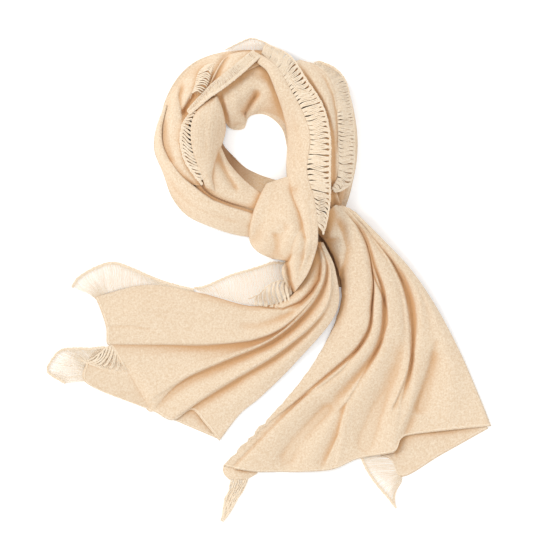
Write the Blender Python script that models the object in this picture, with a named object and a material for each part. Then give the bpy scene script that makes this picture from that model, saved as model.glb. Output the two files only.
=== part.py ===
"""Pashmina shawl with open drop-stitch bands along both selvages.

The cloth is folded in half lengthwise, wound into a ring, knotted at the lower right and its two tails are
fanned out flat.  Every stretch that shows is a closed thin wall laid over one rounded core.
Tables are in millimetres in the plan (X right, Y up), heights above the table top are Z.
"""
import bpy
import numpy as np

MM = 0.001
WALL = 1.2              # thickness of one layer of cloth
YARN_WALL = 1.6         # thickness of the rungs and cord of an open band
LAYER = 3.4             # rise from one lapped layer to the next
EDGE_HEIGHT = 10.0      # height of the ring's inner and outer sides
OUTER_FALL = 1.2        # fall of the pile for each millimetre outside those sides
DOME_POWER = 2.4        # 2 is a round section, more is flatter on top
BLEND_POWER = 8         # how sharply the knot stands out of the ring
REST_GAP = 0.4          # least clearance under a wall that isn't the flat underside
CORE_DEPTH = 19.0       # hidden layers start this far under the top of the ring
CORE_INSET = 0.13       # and this fraction of the ring's width inside its sides
CORE_STEPS = 32
CORE_LEAST = 4.0        # and are nowhere thinner than this
RUNG_PITCH = 8.0        # one rung and one gap of an open band
RUNG_WIDTH = 2.6
BASE_RAIL = 2.6         # last solid row of knitting beside an open band
CORD_RAIL = 3.4         # narrow cord edge of the cloth
LENGTH_STEPS = 200      # steps that an open band's length is measured in
ROLL_EDGE = 1.4         # height of the turned corner's sides
ROLL_CREST = 5.0        # most that its middle stands over them
CLOTH_COLOUR = (0.88, 0.70, 0.51)

RING_CENTRE = (-16.5, 194.5)

# Ring: angle in degrees from +X, inner radius, outer radius, crest height
RING = (
    (0, 42.5, 145, 40),
    (30, 44, 153.5, 40),
    (60, 44, 139, 38),
    (90, 40, 137.5, 36),
    (120, 28.5, 143.5, 38),
    (150, 40, 145, 41),
    (180, 41, 147.5, 42),
    (210, 38.5, 142, 42),
    (240, 35.5, 143.5, 41),
    (270, 41, 139, 40),
    (300, 51, 146.5, 40),
    (330, 47, 152, 40),
)

# Knot: centre x, centre y, half length, half width, height
KNOT = (47.5, 79.5, 85, 69.5, 56)

# Creases and rolls of the pile: start x, y, end x, y, half width, height change
PILE_FOLDS = (
    (-19, 262.5, -35, 238.5, 8, -8),
    (-63, 315, -84.5, 270, 8, -5),
    (-94.5, 261.5, -113, 235.5, 8, -6),
    (-125.5, 272.5, -121.5, 228.5, 7, -4),
    (-150, 221.5, -141.5, 170.5, 7, -4),
    (9, 62.5, 13.5, 34, 7, -6),
    (35, 128, 49, 62.5, 8, -4),
)


def curve(points, count, closed=False):
    """Smooth run through the rows of a table, resampled at evenly spaced steps (Catmull-Rom)."""
    rows = np.asarray(points, float)
    last = len(rows) if closed else len(rows) - 1
    place = np.linspace(0, last, count + 1)
    cell = np.minimum(place.astype(int), last - 1)
    part = (place - cell).reshape((-1,) + (1,) * (rows.ndim - 1))
    if closed:
        p0, p1, p2, p3 = (rows[(cell + k) % len(rows)] for k in (-1, 0, 1, 2))
    else:
        ends = np.concatenate([2 * rows[:1] - rows[1:2], rows, 2 * rows[-1:] - rows[-2:-1]])
        p0, p1, p2, p3 = (ends[cell + k] for k in (0, 1, 2, 3))
    return 0.5 * (2 * p1 + (p2 - p0) * part + (2 * p0 - 5 * p1 + 4 * p2 - p3) * part ** 2
                  + (3 * p1 - p0 - 3 * p2 + p3) * part ** 3)


def ring_relief(x, y):
    """Height of the wound ring over a plan point: a dome across its width, EDGE_HEIGHT at both sides."""
    dx, dy = x - RING_CENTRE[0], y - RING_CENTRE[1]
    angle = np.degrees(np.arctan2(dy, dx)) % 360
    fine = curve(RING, 360, closed=True)
    inner, outer, crest = (np.interp(angle, np.arange(361), fine[:, k]) for k in (1, 2, 3))
    across = 2 * (np.hypot(dx, dy) - inner) / (outer - inner) - 1
    inside = EDGE_HEIGHT + (crest - EDGE_HEIGHT) * (1 - np.abs(np.clip(across, -1, 1)) ** DOME_POWER)
    beyond = np.maximum(np.abs(across) - 1, 0) * (outer - inner) / 2
    return np.maximum(inside - OUTER_FALL * beyond, 0)


def knot_relief(x, y):
    """Height of the knot: a domed oval."""
    distance = np.hypot((x - KNOT[0]) / KNOT[2], (y - KNOT[1]) / KNOT[3])
    return KNOT[4] * (1 - np.minimum(distance, 1) ** DOME_POWER)


def fold_relief(x, y):
    """Sum of the soft troughs along the creases, each a bell across its own line."""
    total = np.zeros_like(x)
    for x0, y0, x1, y1, half_width, change in PILE_FOLDS:
        length = (x1 - x0) ** 2 + (y1 - y0) ** 2
        along = np.clip(((x - x0) * (x1 - x0) + (y - y0) * (y1 - y0)) / length, 0, 1)
        distance = np.hypot(x - x0 - along * (x1 - x0), y - y0 - along * (y1 - y0))
        total += change * np.exp(-(distance / half_width) ** 2)
    return total


def relief(x, y, knot=True):
    """Height of the whole pile: ring and knot blended, then creased."""
    ring = ring_relief(x, y)
    top = (ring ** BLEND_POWER + knot_relief(x, y) ** BLEND_POWER) ** (1 / BLEND_POWER) if knot else ring
    return np.maximum(top + fold_relief(x, y), 0)


def grid_solid(name, top, bottom, mask=None, wrap=False):
    """Closed solid between two matching grids of points; cells left out of the mask are cut through."""
    rows, columns = top.shape[0], top.shape[1]
    cells_u = rows if wrap else rows - 1
    cells_v = columns - 1
    if mask is None:
        mask = np.ones((cells_u, cells_v), bool)
    points = np.concatenate([top.reshape(-1, 3), bottom.reshape(-1, 3)])
    under = rows * columns

    def corner(i, j):
        return (i % rows) * columns + j

    def solid(i, j):
        if wrap:
            i %= cells_u
        return 0 <= i < cells_u and 0 <= j < cells_v and mask[i, j]

    faces = []
    for i, j in np.argwhere(mask):
        a, b, c, d = corner(i, j), corner(i + 1, j), corner(i + 1, j + 1), corner(i, j + 1)
        faces.append((a, b, c, d))
        faces.append((d + under, c + under, b + under, a + under))
        for (p, q), other in (((a, b), (i, j - 1)), ((b, c), (i + 1, j)),
                              ((c, d), (i, j + 1)), ((d, a), (i - 1, j))):
            if not solid(*other):
                faces.append((q, p, p + under, q + under))
    used = np.unique(np.array([k for face in faces for k in face]))
    order = {int(old): new for new, old in enumerate(used)}
    faces = [tuple(order[int(k)] for k in face) for face in faces]
    return name, points[used], faces


def across_normal(top):
    """Unit normals of a grid surface, pointing up."""
    along = np.gradient(top, axis=0)
    across = np.gradient(top, axis=1)
    normal = np.cross(along, across)
    normal *= np.sign(normal[..., 2:3] + 1e-12)
    return normal / np.linalg.norm(normal, axis=2, keepdims=True)


def upward(top):
    """The grid turned so that its first axis crossed with its second points up."""
    along = top[1:, :-1] - top[:-1, :-1]
    across = top[:-1, 1:] - top[:-1, :-1]
    return top if np.cross(along, across)[..., 2].sum() > 0 else top[:, ::-1]


def pile_strip(rows, steps_along, steps_across, level, knot=True):
    """Stretch of cloth on the pile.

    Columns of a row: first edge x, y, second edge x, y, lift at the first edge, at the middle, at the second,
    and for a strand that leaves the pile its least height.
    """
    rows = curve(rows, steps_along)
    across = np.linspace(0, 1, steps_across + 1)
    first, second = rows[:, None, 0:2], rows[:, None, 2:4]
    plan = first + (second - first) * across[None, :, None]
    lift = (rows[:, None, 5] + (rows[:, None, 4] - rows[:, None, 5]) * (1 - across) ** 3
            + (rows[:, None, 6] - rows[:, None, 5]) * across ** 3)
    height = relief(plan[..., 0], plan[..., 1], knot) - level * LAYER + lift
    if rows.shape[1] > 7:
        least = np.maximum(rows[:, 7:8], 0)
        height = (np.maximum(height, 0) ** BLEND_POWER + least ** BLEND_POWER) ** (1 / BLEND_POWER)
    return np.dstack([plan, np.maximum(height, WALL + REST_GAP)])


def fan_sheet(lines, spine, steps_along, steps_across):
    """Pleated tail.

    A row is one fold line: foot height, crest heights over the foot near the knot, halfway and near the end,
    then x, y at each station of the spine.  A row of the spine is one station: height of the pile under the
    cloth, share of the crest height there, and the crest height that counts (0 the first, 1 the second,
    2 the third).
    """
    lines = np.asarray(lines, float)
    spine = np.asarray(spine, float)
    plan = lines[:, 4:].reshape(len(lines), len(spine), 2)
    crest = np.array([np.interp(spine[:, 2], (0, 1, 2), line) for line in lines[:, 1:4]])
    control = np.dstack([plan, lines[:, :1] + spine[:, 0] + crest * spine[:, 1]])
    along = curve(np.swapaxes(control, 0, 1), steps_along)
    surface = curve(np.swapaxes(along, 0, 1), steps_across)
    return np.swapaxes(surface, 0, 1)


def cloth(name, top, flat_under=False):
    """Cloth wall under a grid of points: WALL thick, or down to the table top where it lies flat."""
    top = upward(top)
    bottom = top - WALL * across_normal(top)
    if flat_under:
        bottom = top * (1, 1, 0)
    return grid_solid(name, top, bottom)


def open_band(name, rows, cells_across, level=None):
    """Ladder of rungs between the last solid row of knitting and the cord.

    Columns of a row: base x, y, cord x, y, lift (or height) at the base, at the cord.
    """
    rows = np.asarray(rows, float)
    middle = curve((rows[:, 0:2] + rows[:, 2:4]) / 2, LENGTH_STEPS)
    length = np.concatenate([[0], np.cumsum(np.linalg.norm(np.diff(middle, axis=0), axis=1))])
    rungs = max(int(length[-1] // RUNG_PITCH), 2)
    starts = np.linspace(0, length[-1] - RUNG_WIDTH, rungs + 1)
    marks = np.sort(np.concatenate([starts, starts + RUNG_WIDTH]))
    fine = curve(rows, LENGTH_STEPS)
    rows = np.stack([np.interp(marks, length, fine[:, k]) for k in range(6)], axis=1)
    base, cord = rows[:, 0:2], rows[:, 2:4]
    width = np.linalg.norm(cord - base, axis=1)
    inner = BASE_RAIL / width
    outer = 1 - CORD_RAIL / width
    share = np.linspace(0, 1, cells_across + 1)
    across = np.concatenate([np.zeros((len(rows), 1)), inner[:, None] + (outer - inner)[:, None] * share,
                             np.ones((len(rows), 1))], axis=1)
    plan = base[:, None] + (cord - base)[:, None] * across[..., None]
    height = rows[:, None, 4] + (rows[:, None, 5] - rows[:, None, 4]) * across
    if level is not None:
        height = height + relief(plan[..., 0], plan[..., 1]) - level * LAYER
    top = np.dstack([plan, np.maximum(height, YARN_WALL + REST_GAP)])
    mask = np.ones((len(rows) - 1, cells_across + 2), bool)
    mask[1::2, 1:-1] = False
    turned = upward(top)
    if turned is not top:
        mask = mask[:, ::-1]
    return grid_solid(name, turned, turned - np.array([0, 0, YARN_WALL]), mask)


def ring_core():
    """Hidden layers of the ring: one rounded body with a flat underside."""
    rows = curve(RING, CORE_STEPS, closed=True)[:-1]
    angle = np.radians(np.linspace(0, 360, CORE_STEPS, endpoint=False))
    across = np.linspace(CORE_INSET, 1 - CORE_INSET, 7)
    radius = rows[:, None, 1] + (rows[:, None, 2] - rows[:, None, 1]) * across
    x = RING_CENTRE[0] + radius * np.cos(angle)[:, None]
    y = RING_CENTRE[1] + radius * np.sin(angle)[:, None]
    top = np.dstack([x, y, np.maximum(relief(x, y, knot=False) - CORE_DEPTH, CORE_LEAST)])[:, ::-1]
    return grid_solid("ring_core", top, top * (1, 1, 0), wrap=True)


# Hidden layers under the knot: inner x, y, outer x, y, height at the inner side, at the outer side
KNOT_CORE = (
    (20.5, 20, 20.5, -28.5, 5, 5),
    (30.5, 47, 39, -24, 8, 6),
    (43.5, 72.5, 63, -10, 15, 7),
    (60.5, 82.5, 91.5, -10, 18, 5),
    (77.5, 92.5, 110, -3, 19, 5),
    (90, 98, 117, 57, 15, 7),
    (96, 99.5, 118.5, 74, 13, 7),
)

# Columns: first edge x, y, second edge x, y, lifts, least height
FRONT_STRAND = (
    (-18, 306.5, -12, 319.5, -5, -5, -5, 0),
    (-3.5, 294, 10.5, 301, 0, 0, 0, 0),
    (8, 267, 29, 270, 0, 0, 0, 0),
    (19, 234.5, 47.5, 235.5, 0, 0, 0, 0),
    (25, 199, 57.5, 201.5, 0, 0, 0, 0),
    (23.5, 156, 53, 153.5, 0, 0, 0, 0),
    (29, 116.5, 63, 115, 0, 0, 0, 0),
    (40.5, 85, 67.5, 85, 0, 0, 0, 0),
    (29, 52.5, 68, 54, 0, 0, 0, 15),
    (19, 30, 63, 32.5, 0, 0, 0, 35),
    (26.5, 17, 56, 13, 0, 0, 0, 33),
    (33.5, 1.5, 47.5, -1.5, 0, 0, 0, 29),
    (30.5, -15.5, 35, -18, 0, 0, 0, 20),
)
# Columns from here on: first edge x, y, second edge x, y, lifts
RIGHT_STRAND = (
    (18, 304, 43.5, 312.5, 0, 0, -3),
    (37.5, 289.5, 66, 304, 0, 0, -2),
    (52, 265.5, 86, 284, 0, 1, -2),
    (64.5, 234.5, 94.5, 254, 0, 1, -2),
    (70.5, 199, 97.5, 213, 0, 1, -2),
    (69, 163.5, 97.5, 170.5, 0, 1, -2),
    (74.5, 130.5, 94.5, 132, 0, 0, -2),
    (77.5, 111, 100, 108, 0, 0, -1),
    (80, 101.5, 100, 101.5, 0, 0, -1),
)
RIGHT_UNDER_STRAND = (
    (43.5, 301, 47.5, 311, 0, 0, 0),
    (74.5, 278.5, 83, 301, 0, 0, 0),
    (89, 250, 110, 272.5, 0, 0, 0),
    (91.5, 216, 123, 220, 0, 0, 0),
    (91.5, 173, 124, 173, 0, 0, 0),
    (86, 135, 115.5, 128, 0, 0, 0),
    (86, 115, 110, 109.5, 0, 0, 0),
    (87.5, 103.5, 107, 101.5, 0, 0, 0),
)
RING_TOP_FOLD = (
    (-90, 238.5, -67.5, 241.5, 0, 0, 0),
    (-81.5, 264, -56, 230, 0, 0, -1),
    (-62, 284, -37.5, 214.5, 0, 0, -2),
    (-42, 297, -29, 231.5, 0, 0, -1),
    (-20.5, 304, -10.5, 235.5, 0, 0, -1),
    (6.5, 295.5, 6.5, 227, 0, 0, -1),
    (26.5, 270, 19, 211.5, 0, 0, -1),
    (39, 238.5, 25, 187.5, 0, 0, -1),
)
INNER_LEFT_BAND = (
    (-81.5, 257, -73, 260, 0, 0, 0),
    (-98.5, 245.5, -66, 240, 0, 0, -1),
    (-110, 224.5, -62, 216, 0, 1, -3),
    (-111.5, 199, -66, 196, 0, 1, -3),
    (-107, 176, -74.5, 173, 0, 1, -3),
    (-98.5, 153.5, -80, 147.5, 0, 0, -2),
    (-87.5, 132, -77.5, 132, -1, -1, -2),
)
LOWER_INNER_BAND = (
    (-90, 176, -69, 189, 0, 0, 0),
    (-98.5, 145, -57.5, 166, -2.5, 0, -1),
    (-103, 128, -37.5, 143.5, -2.5, 1, -2),
    (-54.5, 95, -16.5, 126.5, 0, 0, -2),
    (-19, 85, 0.5, 115, 0, 0, -2),
)
DEEP_INNER_STRIP = (
    (-74.5, 244, -59, 237, -3, -3, -3),
    (-76, 226, -53, 213, -3, -3, -3),
    (-76, 206, -54.5, 197.5, -1, -1, -1),
    (-73, 187.5, -54.5, 182, 0, 0, 0),
    (-63, 163.5, -44.5, 167.5, 0, 0, 0),
    (-42, 139, -27.5, 155, 0, 0, 0),
    (-16.5, 123.5, -6.5, 146.5, 0, 0, 0),
    (8, 116.5, 16.5, 140.5, 0, 0, 0),
    (32, 116.5, 32, 145, 0, 0, 0),
)
OUTER_LEFT_BAND = (
    (-148.5, 248.5, -145.5, 247, -1, -1, -1),
    (-161, 216, -152.5, 213, -2, 1, 1),
    (-164, 184.5, -148.5, 184.5, -4, 1, 0),
    (-151, 150.5, -127, 150.5, -5, 1, 0),
    (-138.5, 116.5, -100, 128, -5, 1, 0),
    (-117, 91, -73, 112, -5, 1, 0),
    (-84.5, 75.5, -44.5, 102, -5, 0, -1),
    (-49, 64, -19, 95, -5, -1, -2),
    (-16.5, 59.5, 3.5, 91, -4, -3, -3),
)
LAPPED_LEFT_BAND = (
    (-5, 326, -8, 306.5, -2, 0, 0),
    (-42, 326, -37.5, 292.5, -2, 0, 0),
    (-77.5, 321, -67.5, 272.5, -3, 0, 0),
    (-108.5, 308, -90, 250, -4, 0, 0),
    (-133, 284, -104.5, 235.5, -4, 0, 0),
    (-150, 250, -113, 221.5, -4, 0, 0),
    (-154, 217.5, -114.5, 199, -2, 0, 0),
    (-152.5, 184.5, -110, 176, -1, 0, 0),
    (-138.5, 153.5, -100, 150.5, 0, 0, 0),
    (-115.5, 135, -93, 132, 0, 0, 0),
)
TOP_LEFT_FOLD = (
    (-8, 322.5, -13.5, 308, 0, 0, 0),
    (-36, 324, -37.5, 302.5, -1, 1, 0),
    (-62, 316.5, -59, 287, -1, 1, 0),
    (-77.5, 294, -76, 272.5, 0, 1, 0),
    (-87.5, 270, -89, 260, 0, 0, 0),
)
KNOT_BAND = (
    (-5, 136.5, 32, 149, -3, 0, 0),
    (-15, 118, 40.5, 125, -3, 1, 0),
    (-23.5, 96.5, 47.5, 102, 0, 1, 0),
    (-29, 74, 52, 76.5, 0, 1, -1),
    (-27.5, 52.5, 50.5, 52.5, -2, 1, -1),
    (-15, 38.5, 47.5, 37, -2, 0, 0),
    (3.5, 30, 40.5, 24, -2, 0, 0),
)

# Spine of a tail: height of what lies under the cloth, share of the crest height, which crest height counts
LEFT_TAIL_SPINE = (
    (30, 0.1, 0),
    (23, 0.5, 0),
    (15, 0.9, 0.2),
    (7.5, 1.0, 1),
    (4.8, 1.0, 1.5),
    (4.0, 0.9, 2),
    (3.6, 0.6, 2),
)
# Columns: foot height, crest height near the knot, halfway and at the hem, then x, y at each station
LEFT_TAIL_LINES = (
    (-2.2, 0, 0, 0, 54.5, 52.5, 50.5, 11.5, 26.5, -25.5, -25, -37, -98.5, -18.5, -174, -7, -248, -24),
    (-2, 6, 5, 5, 59.5, 53, 62.5, 13, 39, -27, -18, -48.5, -91.5, -40, -168.5, -31, -239.5, -44),
    (-1, 0.5, 5, 7, 63, 54, 71, 13.5, 49.5, -28.5, -9, -62.5, -84.5, -64, -161, -59.5, -232, -68),
    (-1, 9, 9, 5, 65.5, 54, 75.5, 14, 56, -30.5, -0.5, -74.5, -80, -88, -154, -89, -231, -89.5),
    (0, 8.5, 3, 0.5, 66.5, 54, 76.5, 14, 57.5, -31, 1.5, -79, -79, -94.5, -151, -95, -223.5, -96.5),
    (0, 8.5, 4, 1.5, 67.5, 54, 77.5, 14, 58.5, -32, 3.5, -81, -73, -106.5, -142.5, -113.5, -209.5, -122),
    (0, 9, 9, 5, 68.5, 54, 78.5, 14, 59.5, -32.5, 5, -82.5, -69, -114.5, -127, -140, -177, -181),
    (0, 0.5, 0.5, 0.5, 69.5, 54, 81.5, 14, 63.5, -35, 9, -86.5, -65.5, -120.5, -121.5, -147, -162.5, -187.5),
    (0, 8, 9, 6, 71, 54, 86, 13.5, 76, -41, 18, -96, -50.5, -137.5, -94.5, -164.5, -138.5, -199),
    (0, 5, 1, 0.5, 72, 54, 87.5, 13.5, 79, -44, 21.5, -101.5, -46, -144, -89, -171, -111.5, -184.5),
    (0, 3, 4, 3, 73, 53.5, 89, 13, 84.5, -46, 29, -109.5, -29, -156, -66, -183, -91.5, -204.5),
    (0, 0, 0, 0, 74.5, 53, 91, 12, 91, -47, 37.5, -116.5, -12, -165.5, -42, -190.5, -71.5, -228.5),
)
# Lower layer, flat on the table: x, y at each station from the knot to the hem
FLAT_SPINE = ((WALL, 0, 0),) * 5
LEFT_UNDER_LINES = (
    (0, 0, 0, 0, 71.5, -45.5, -10.5, -95, -91.5, -128, -172.5, -136.5, -262, -120.5),
    (0, 0, 0, 0, 73, -45.5, -5, -102, -84.5, -139, -165.5, -152, -259, -147.5),
    (0, 0, 0, 0, 76, -47, 20.5, -116.5, -44.5, -160.5, -104.5, -186, -167, -186),
    (0, 0, 0, 0, 80, -48.5, 47.5, -101, 0.5, -147.5, -39, -184.5, -73, -226),
)

RIGHT_TAIL_SPINE = (
    (27, 0.1, 0),
    (19, 0.5, 0),
    (14, 0.8, 0.2),
    (10, 1.0, 1),
    (5.5, 1.0, 1.2),
    (4.0, 0.9, 1.8),
    (3.6, 0.6, 2),
)
RIGHT_TAIL_LINES = (
    (-2, 0, 0, 0, 77.5, 93.5, 84.5, 59.5, 96, 22.5, 101.5, -27, 79, -89.5, 30.5, -160.5, -66, -264),
    (-1, 9, 9, 0.5, 87.5, 102, 106, 62.5, 114.5, 21.5, 120, -28.5, 101.5, -89.5, 34, -164, -62, -265.5),
    (0, 9, 9, 0.5, 97.5, 105, 127, 65.5, 140, 21.5, 142, -28.5, 124, -89.5, 38.5, -168.5, -57.5, -266.5),
    (0, 1, 1, 0.5, 99.5, 105, 130.5, 66, 143.5, 21.5, 145.5, -28.5, 130, -91, 42, -171, -53, -267.5),
    (0, 1, 8, 8, 100.5, 105, 132, 66, 145.5, 21.5, 149, -29, 135, -93, 46, -174.5, -44.5, -269),
    (0, 1, 8, 7, 101.5, 105, 133, 66, 147, 21.5, 157, -30, 142.5, -98, 62, -182, -18, -272.5),
    (0, 1, 0.5, 1, 102.5, 105, 134, 66, 148.5, 21.5, 162.5, -31, 152, -99.5, 81.5, -186, 16.5, -272.5),
    (0, 8, 8, 7, 104, 104.5, 137, 65.5, 154, 21.5, 168.5, -32, 158.5, -100, 101.5, -186, 44.5, -272.5),
    (0, 8, 8, 6, 106, 104, 139, 65, 162.5, 22, 179.5, -31, 175.5, -102, 123, -184.5, 89, -269),
    (0, 8, 7, 1.5, 107, 103.5, 140.5, 64.5, 168.5, 22.5, 187.5, -30, 188, -103.5, 154, -184.5, 125.5, -254),
    (0, 9, 9, 8, 108.5, 103, 142, 64, 172, 23.5, 192.5, -28.5, 198, -105, 181, -177.5, 168.5, -246.5),
    (0, 1, 0.5, 9, 110.5, 102, 144.5, 63.5, 176, 22.5, 198, -29, 203, -105, 188, -177, 179.5, -241.5),
    (0, 6, 7, 9, 113, 101, 149, 62, 184, 21.5, 211, -30.5, 208.5, -104.5, 201, -176, 185.5, -227),
    (0, 6, 5, 2, 116, 99, 152.5, 61, 189, 20, 219.5, -31, 231, -102, 218, -173, 201, -220),
    (0, 3, 5, 4, 119.5, 97, 156, 60, 194, 18.5, 226.5, -32.5, 252, -100, 257.5, -169, 253.5, -213.5),
    (0, 0, 0, 0, 123, 94.5, 160, 58, 199, 16.5, 234.5, -35, 269, -99.5, 298, -166, 314.5, -207.5),
)
RIGHT_UNDER_LINES = (
    (0, 0, 0, 0, 117, -14, 97.5, -78, 69, -139, 29, -191.5, -8, -250),
    (0, 0, 0, 0, 137, -17, 128.5, -85, 111.5, -149, 91.5, -206, 80, -244),
    (0, 0, 0, 0, 168.5, -20, 168.5, -88, 157, -153.5, 148.5, -210, 165.5, -251.5),
    (0, 0, 0, 0, 179.5, -20, 188, -88, 185.5, -153.5, 182.5, -213, 188, -279.5),
    (0, 0, 0, 0, 191, -20, 211, -88, 219.5, -150.5, 231, -204.5, 242, -244),
    (0, 0, 0, 0, 205, -20, 242, -82.5, 267.5, -130.5, 287.5, -173, 306, -214.5),
)
# Turned corner and bundled end of the open band
CORNER_END = (
    (-63, -270, -19, -275.5, 0, 0, 0),
    (-54.5, -287, -27.5, -284, 0, 0, 0),
    (-53, -304, -37.5, -301, 0, 0, 0),
    (-60.5, -322.5, -47.5, -321, 0, 0, 0),
    (-69, -342, -62, -342, 0, 0, 0),
)

# Open bands.  Columns: base x, y, cord x, y, lift at the base, lift at the cord
FRONT_OPEN_BAND = (
    (-6.5, 321, 0.5, 333.5, -5, -7),
    (13.5, 301, 29, 318, 0, -3),
    (30.5, 270, 52, 284, 0, -1),
    (49, 237, 76, 245.5, 0, -1),
    (59, 201.5, 86, 201.5, 0, -1),
    (54.5, 153.5, 86, 153.5, 0, -1),
    (64.5, 115, 86, 115, 0, -1),
    (69, 85, 81.5, 84, 0, -2),
    (70.5, 66.5, 76, 64, 0, -3),
)
TOP_OPEN_BAND = (
    (-9, 328, -6.5, 338, -3, -4),
    (-23.5, 328.5, -25, 343.5, -3, -4),
    (-39, 328, -40.5, 338.5, -3, -4),
    (-54.5, 325, -57.5, 330, -3, -4),
)
ARC_OPEN_BAND = (
    (-77.5, 312.5, -93, 311, 0, 0),
    (-84.5, 292.5, -101, 292.5, 0, 0),
    (-90, 274, -106, 274, 0, 0),
    (-100, 257, -112, 258.5, 0, 0),
)
LAPPED_OPEN_BAND = (
    (-35, 313, -25, 304, 0, 0),
    (-47.5, 302.5, -37.5, 292.5, 0, 0),
    (-63, 289.5, -53, 279.5, 0, 0),
    (-79, 277, -69, 267.5, 0, 0),
    (-91.5, 265.5, -84.5, 257, 0, 0),
    (-104.5, 253.5, -98.5, 245.5, 0, 0),
)
INNER_LEFT_OPEN_BAND = (
    (-107, 235.5, -117, 230, 0, 0),
    (-113, 221.5, -124, 218.5, 0, 0),
    (-114.5, 199, -127, 199, 0, 0),
    (-110, 179, -124, 179, 0, 0),
    (-103, 159, -117, 159, 0, 0),
    (-89, 132, -100, 136.5, 0, 0),
)
RIGHT_OPEN_BAND = (
    (60.5, 308, 70.5, 311, -2, -4),
    (79, 297, 93, 301, -2, -4),
    (90, 278.5, 108.5, 282.5, -2, -4),
    (97.5, 250, 115.5, 251.5, -2, -4),
    (100, 213, 120, 213, -2, -4),
    (100, 173, 120, 173, -2, -4),
    (99.5, 146.5, 117, 143.5, -2, -4),
    (98, 128, 111.5, 128, -2, -4),
)
# The bands of the tails give heights over the table top in place of lifts
LEFT_NEAR_OPEN_BAND = (
    (25, -18.5, 16.5, 25.5, 15, 6),
    (13.5, -25.5, 3.5, 25.5, 14, 5),
    (-2, -30, -13.5, 20, 12, 4),
    (-20.5, -31, -33.5, 14, 9, 4),
    (-42, -27.5, -53, 8.5, 7, 4),
    (-63, -22, -73, 0, 6, 3.5),
    (-84.5, -16.5, -89, -7, 5.5, 3.5),
    (-98.5, -13.5, -100, -10, 5, 3.5),
)
LEFT_FAR_OPEN_BAND = (
    (-127, -11.5, -128.5, -8, 3, 2.5),
    (-148.5, -8, -151, -1.5, 2.5, 2.2),
    (-169.5, -5, -172.5, 7, 2.2, 2),
    (-192.5, -5, -195, 17, 2.2, 2),
    (-215, -8.5, -221, 25.5, 2.2, 2),
    (-235, -15.5, -245, 20, 2.2, 2),
    (-248, -21.5, -272, 4.5, 2.2, 2),
    (-250.5, -27, -282, -10, 2.2, 2),
)
LEFT_UNDER_OPEN_BAND = (
    (-192.5, -132, -211, -102, 2, 2),
    (-215, -129, -235, -95, 2, 2),
    (-235, -125, -255, -96.5, 2, 2),
    (-252, -119.5, -277.5, -96.5, 2, 2),
    (-266, -116.5, -297.5, -99.5, 2, 2),
    (-270.5, -123.5, -310.5, -113.5, 2, 2),
    (-269, -133.5, -316, -130.5, 2, 2),
    (-265, -145, -292, -146.5, 2, 2),
)
RIGHT_UNDER_OPEN_BAND = (
    (167, -260, 130, -255, 2, 2),
    (172.5, -271, 138.5, -272.5, 2, 2),
    (182.5, -287, 152.5, -292.5, 2, 2),
    (191, -301, 167, -309.5, 2, 2),
    (195, -314, 179.5, -325, 2, 2),
)


def knot_core():
    """Hidden layers under the knot and the roots of the tails, beside the ring's own."""
    rows = curve(KNOT_CORE, 10)
    across = np.linspace(0, 1, 4)[None, :, None]
    plan = rows[:, None, 0:2] + (rows[:, None, 2:4] - rows[:, None, 0:2]) * across
    height = rows[:, None, 4:5] + (rows[:, None, 5:6] - rows[:, None, 4:5]) * across
    top = upward(np.dstack([plan, height]))
    return grid_solid("knot_core", top, top * (1, 1, 0))


def corner_roll():
    """Turned corner and bundled end: a flattened roll lying on the table top."""
    rows = curve(CORNER_END, 8)
    across = np.linspace(0, 1, 5)
    plan = rows[:, None, 0:2] + (rows[:, None, 2:4] - rows[:, None, 0:2]) * across[None, :, None]
    width = np.linalg.norm(rows[:, 2:4] - rows[:, 0:2], axis=1)
    crest = np.minimum(ROLL_CREST, 2 + width / 8)
    height = ROLL_EDGE + crest[:, None] * np.sqrt(1 - (2 * across - 1) ** 2)
    top = upward(np.dstack([plan, height]))
    return grid_solid("corner_end", top, top * (1, 1, 0))


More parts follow.
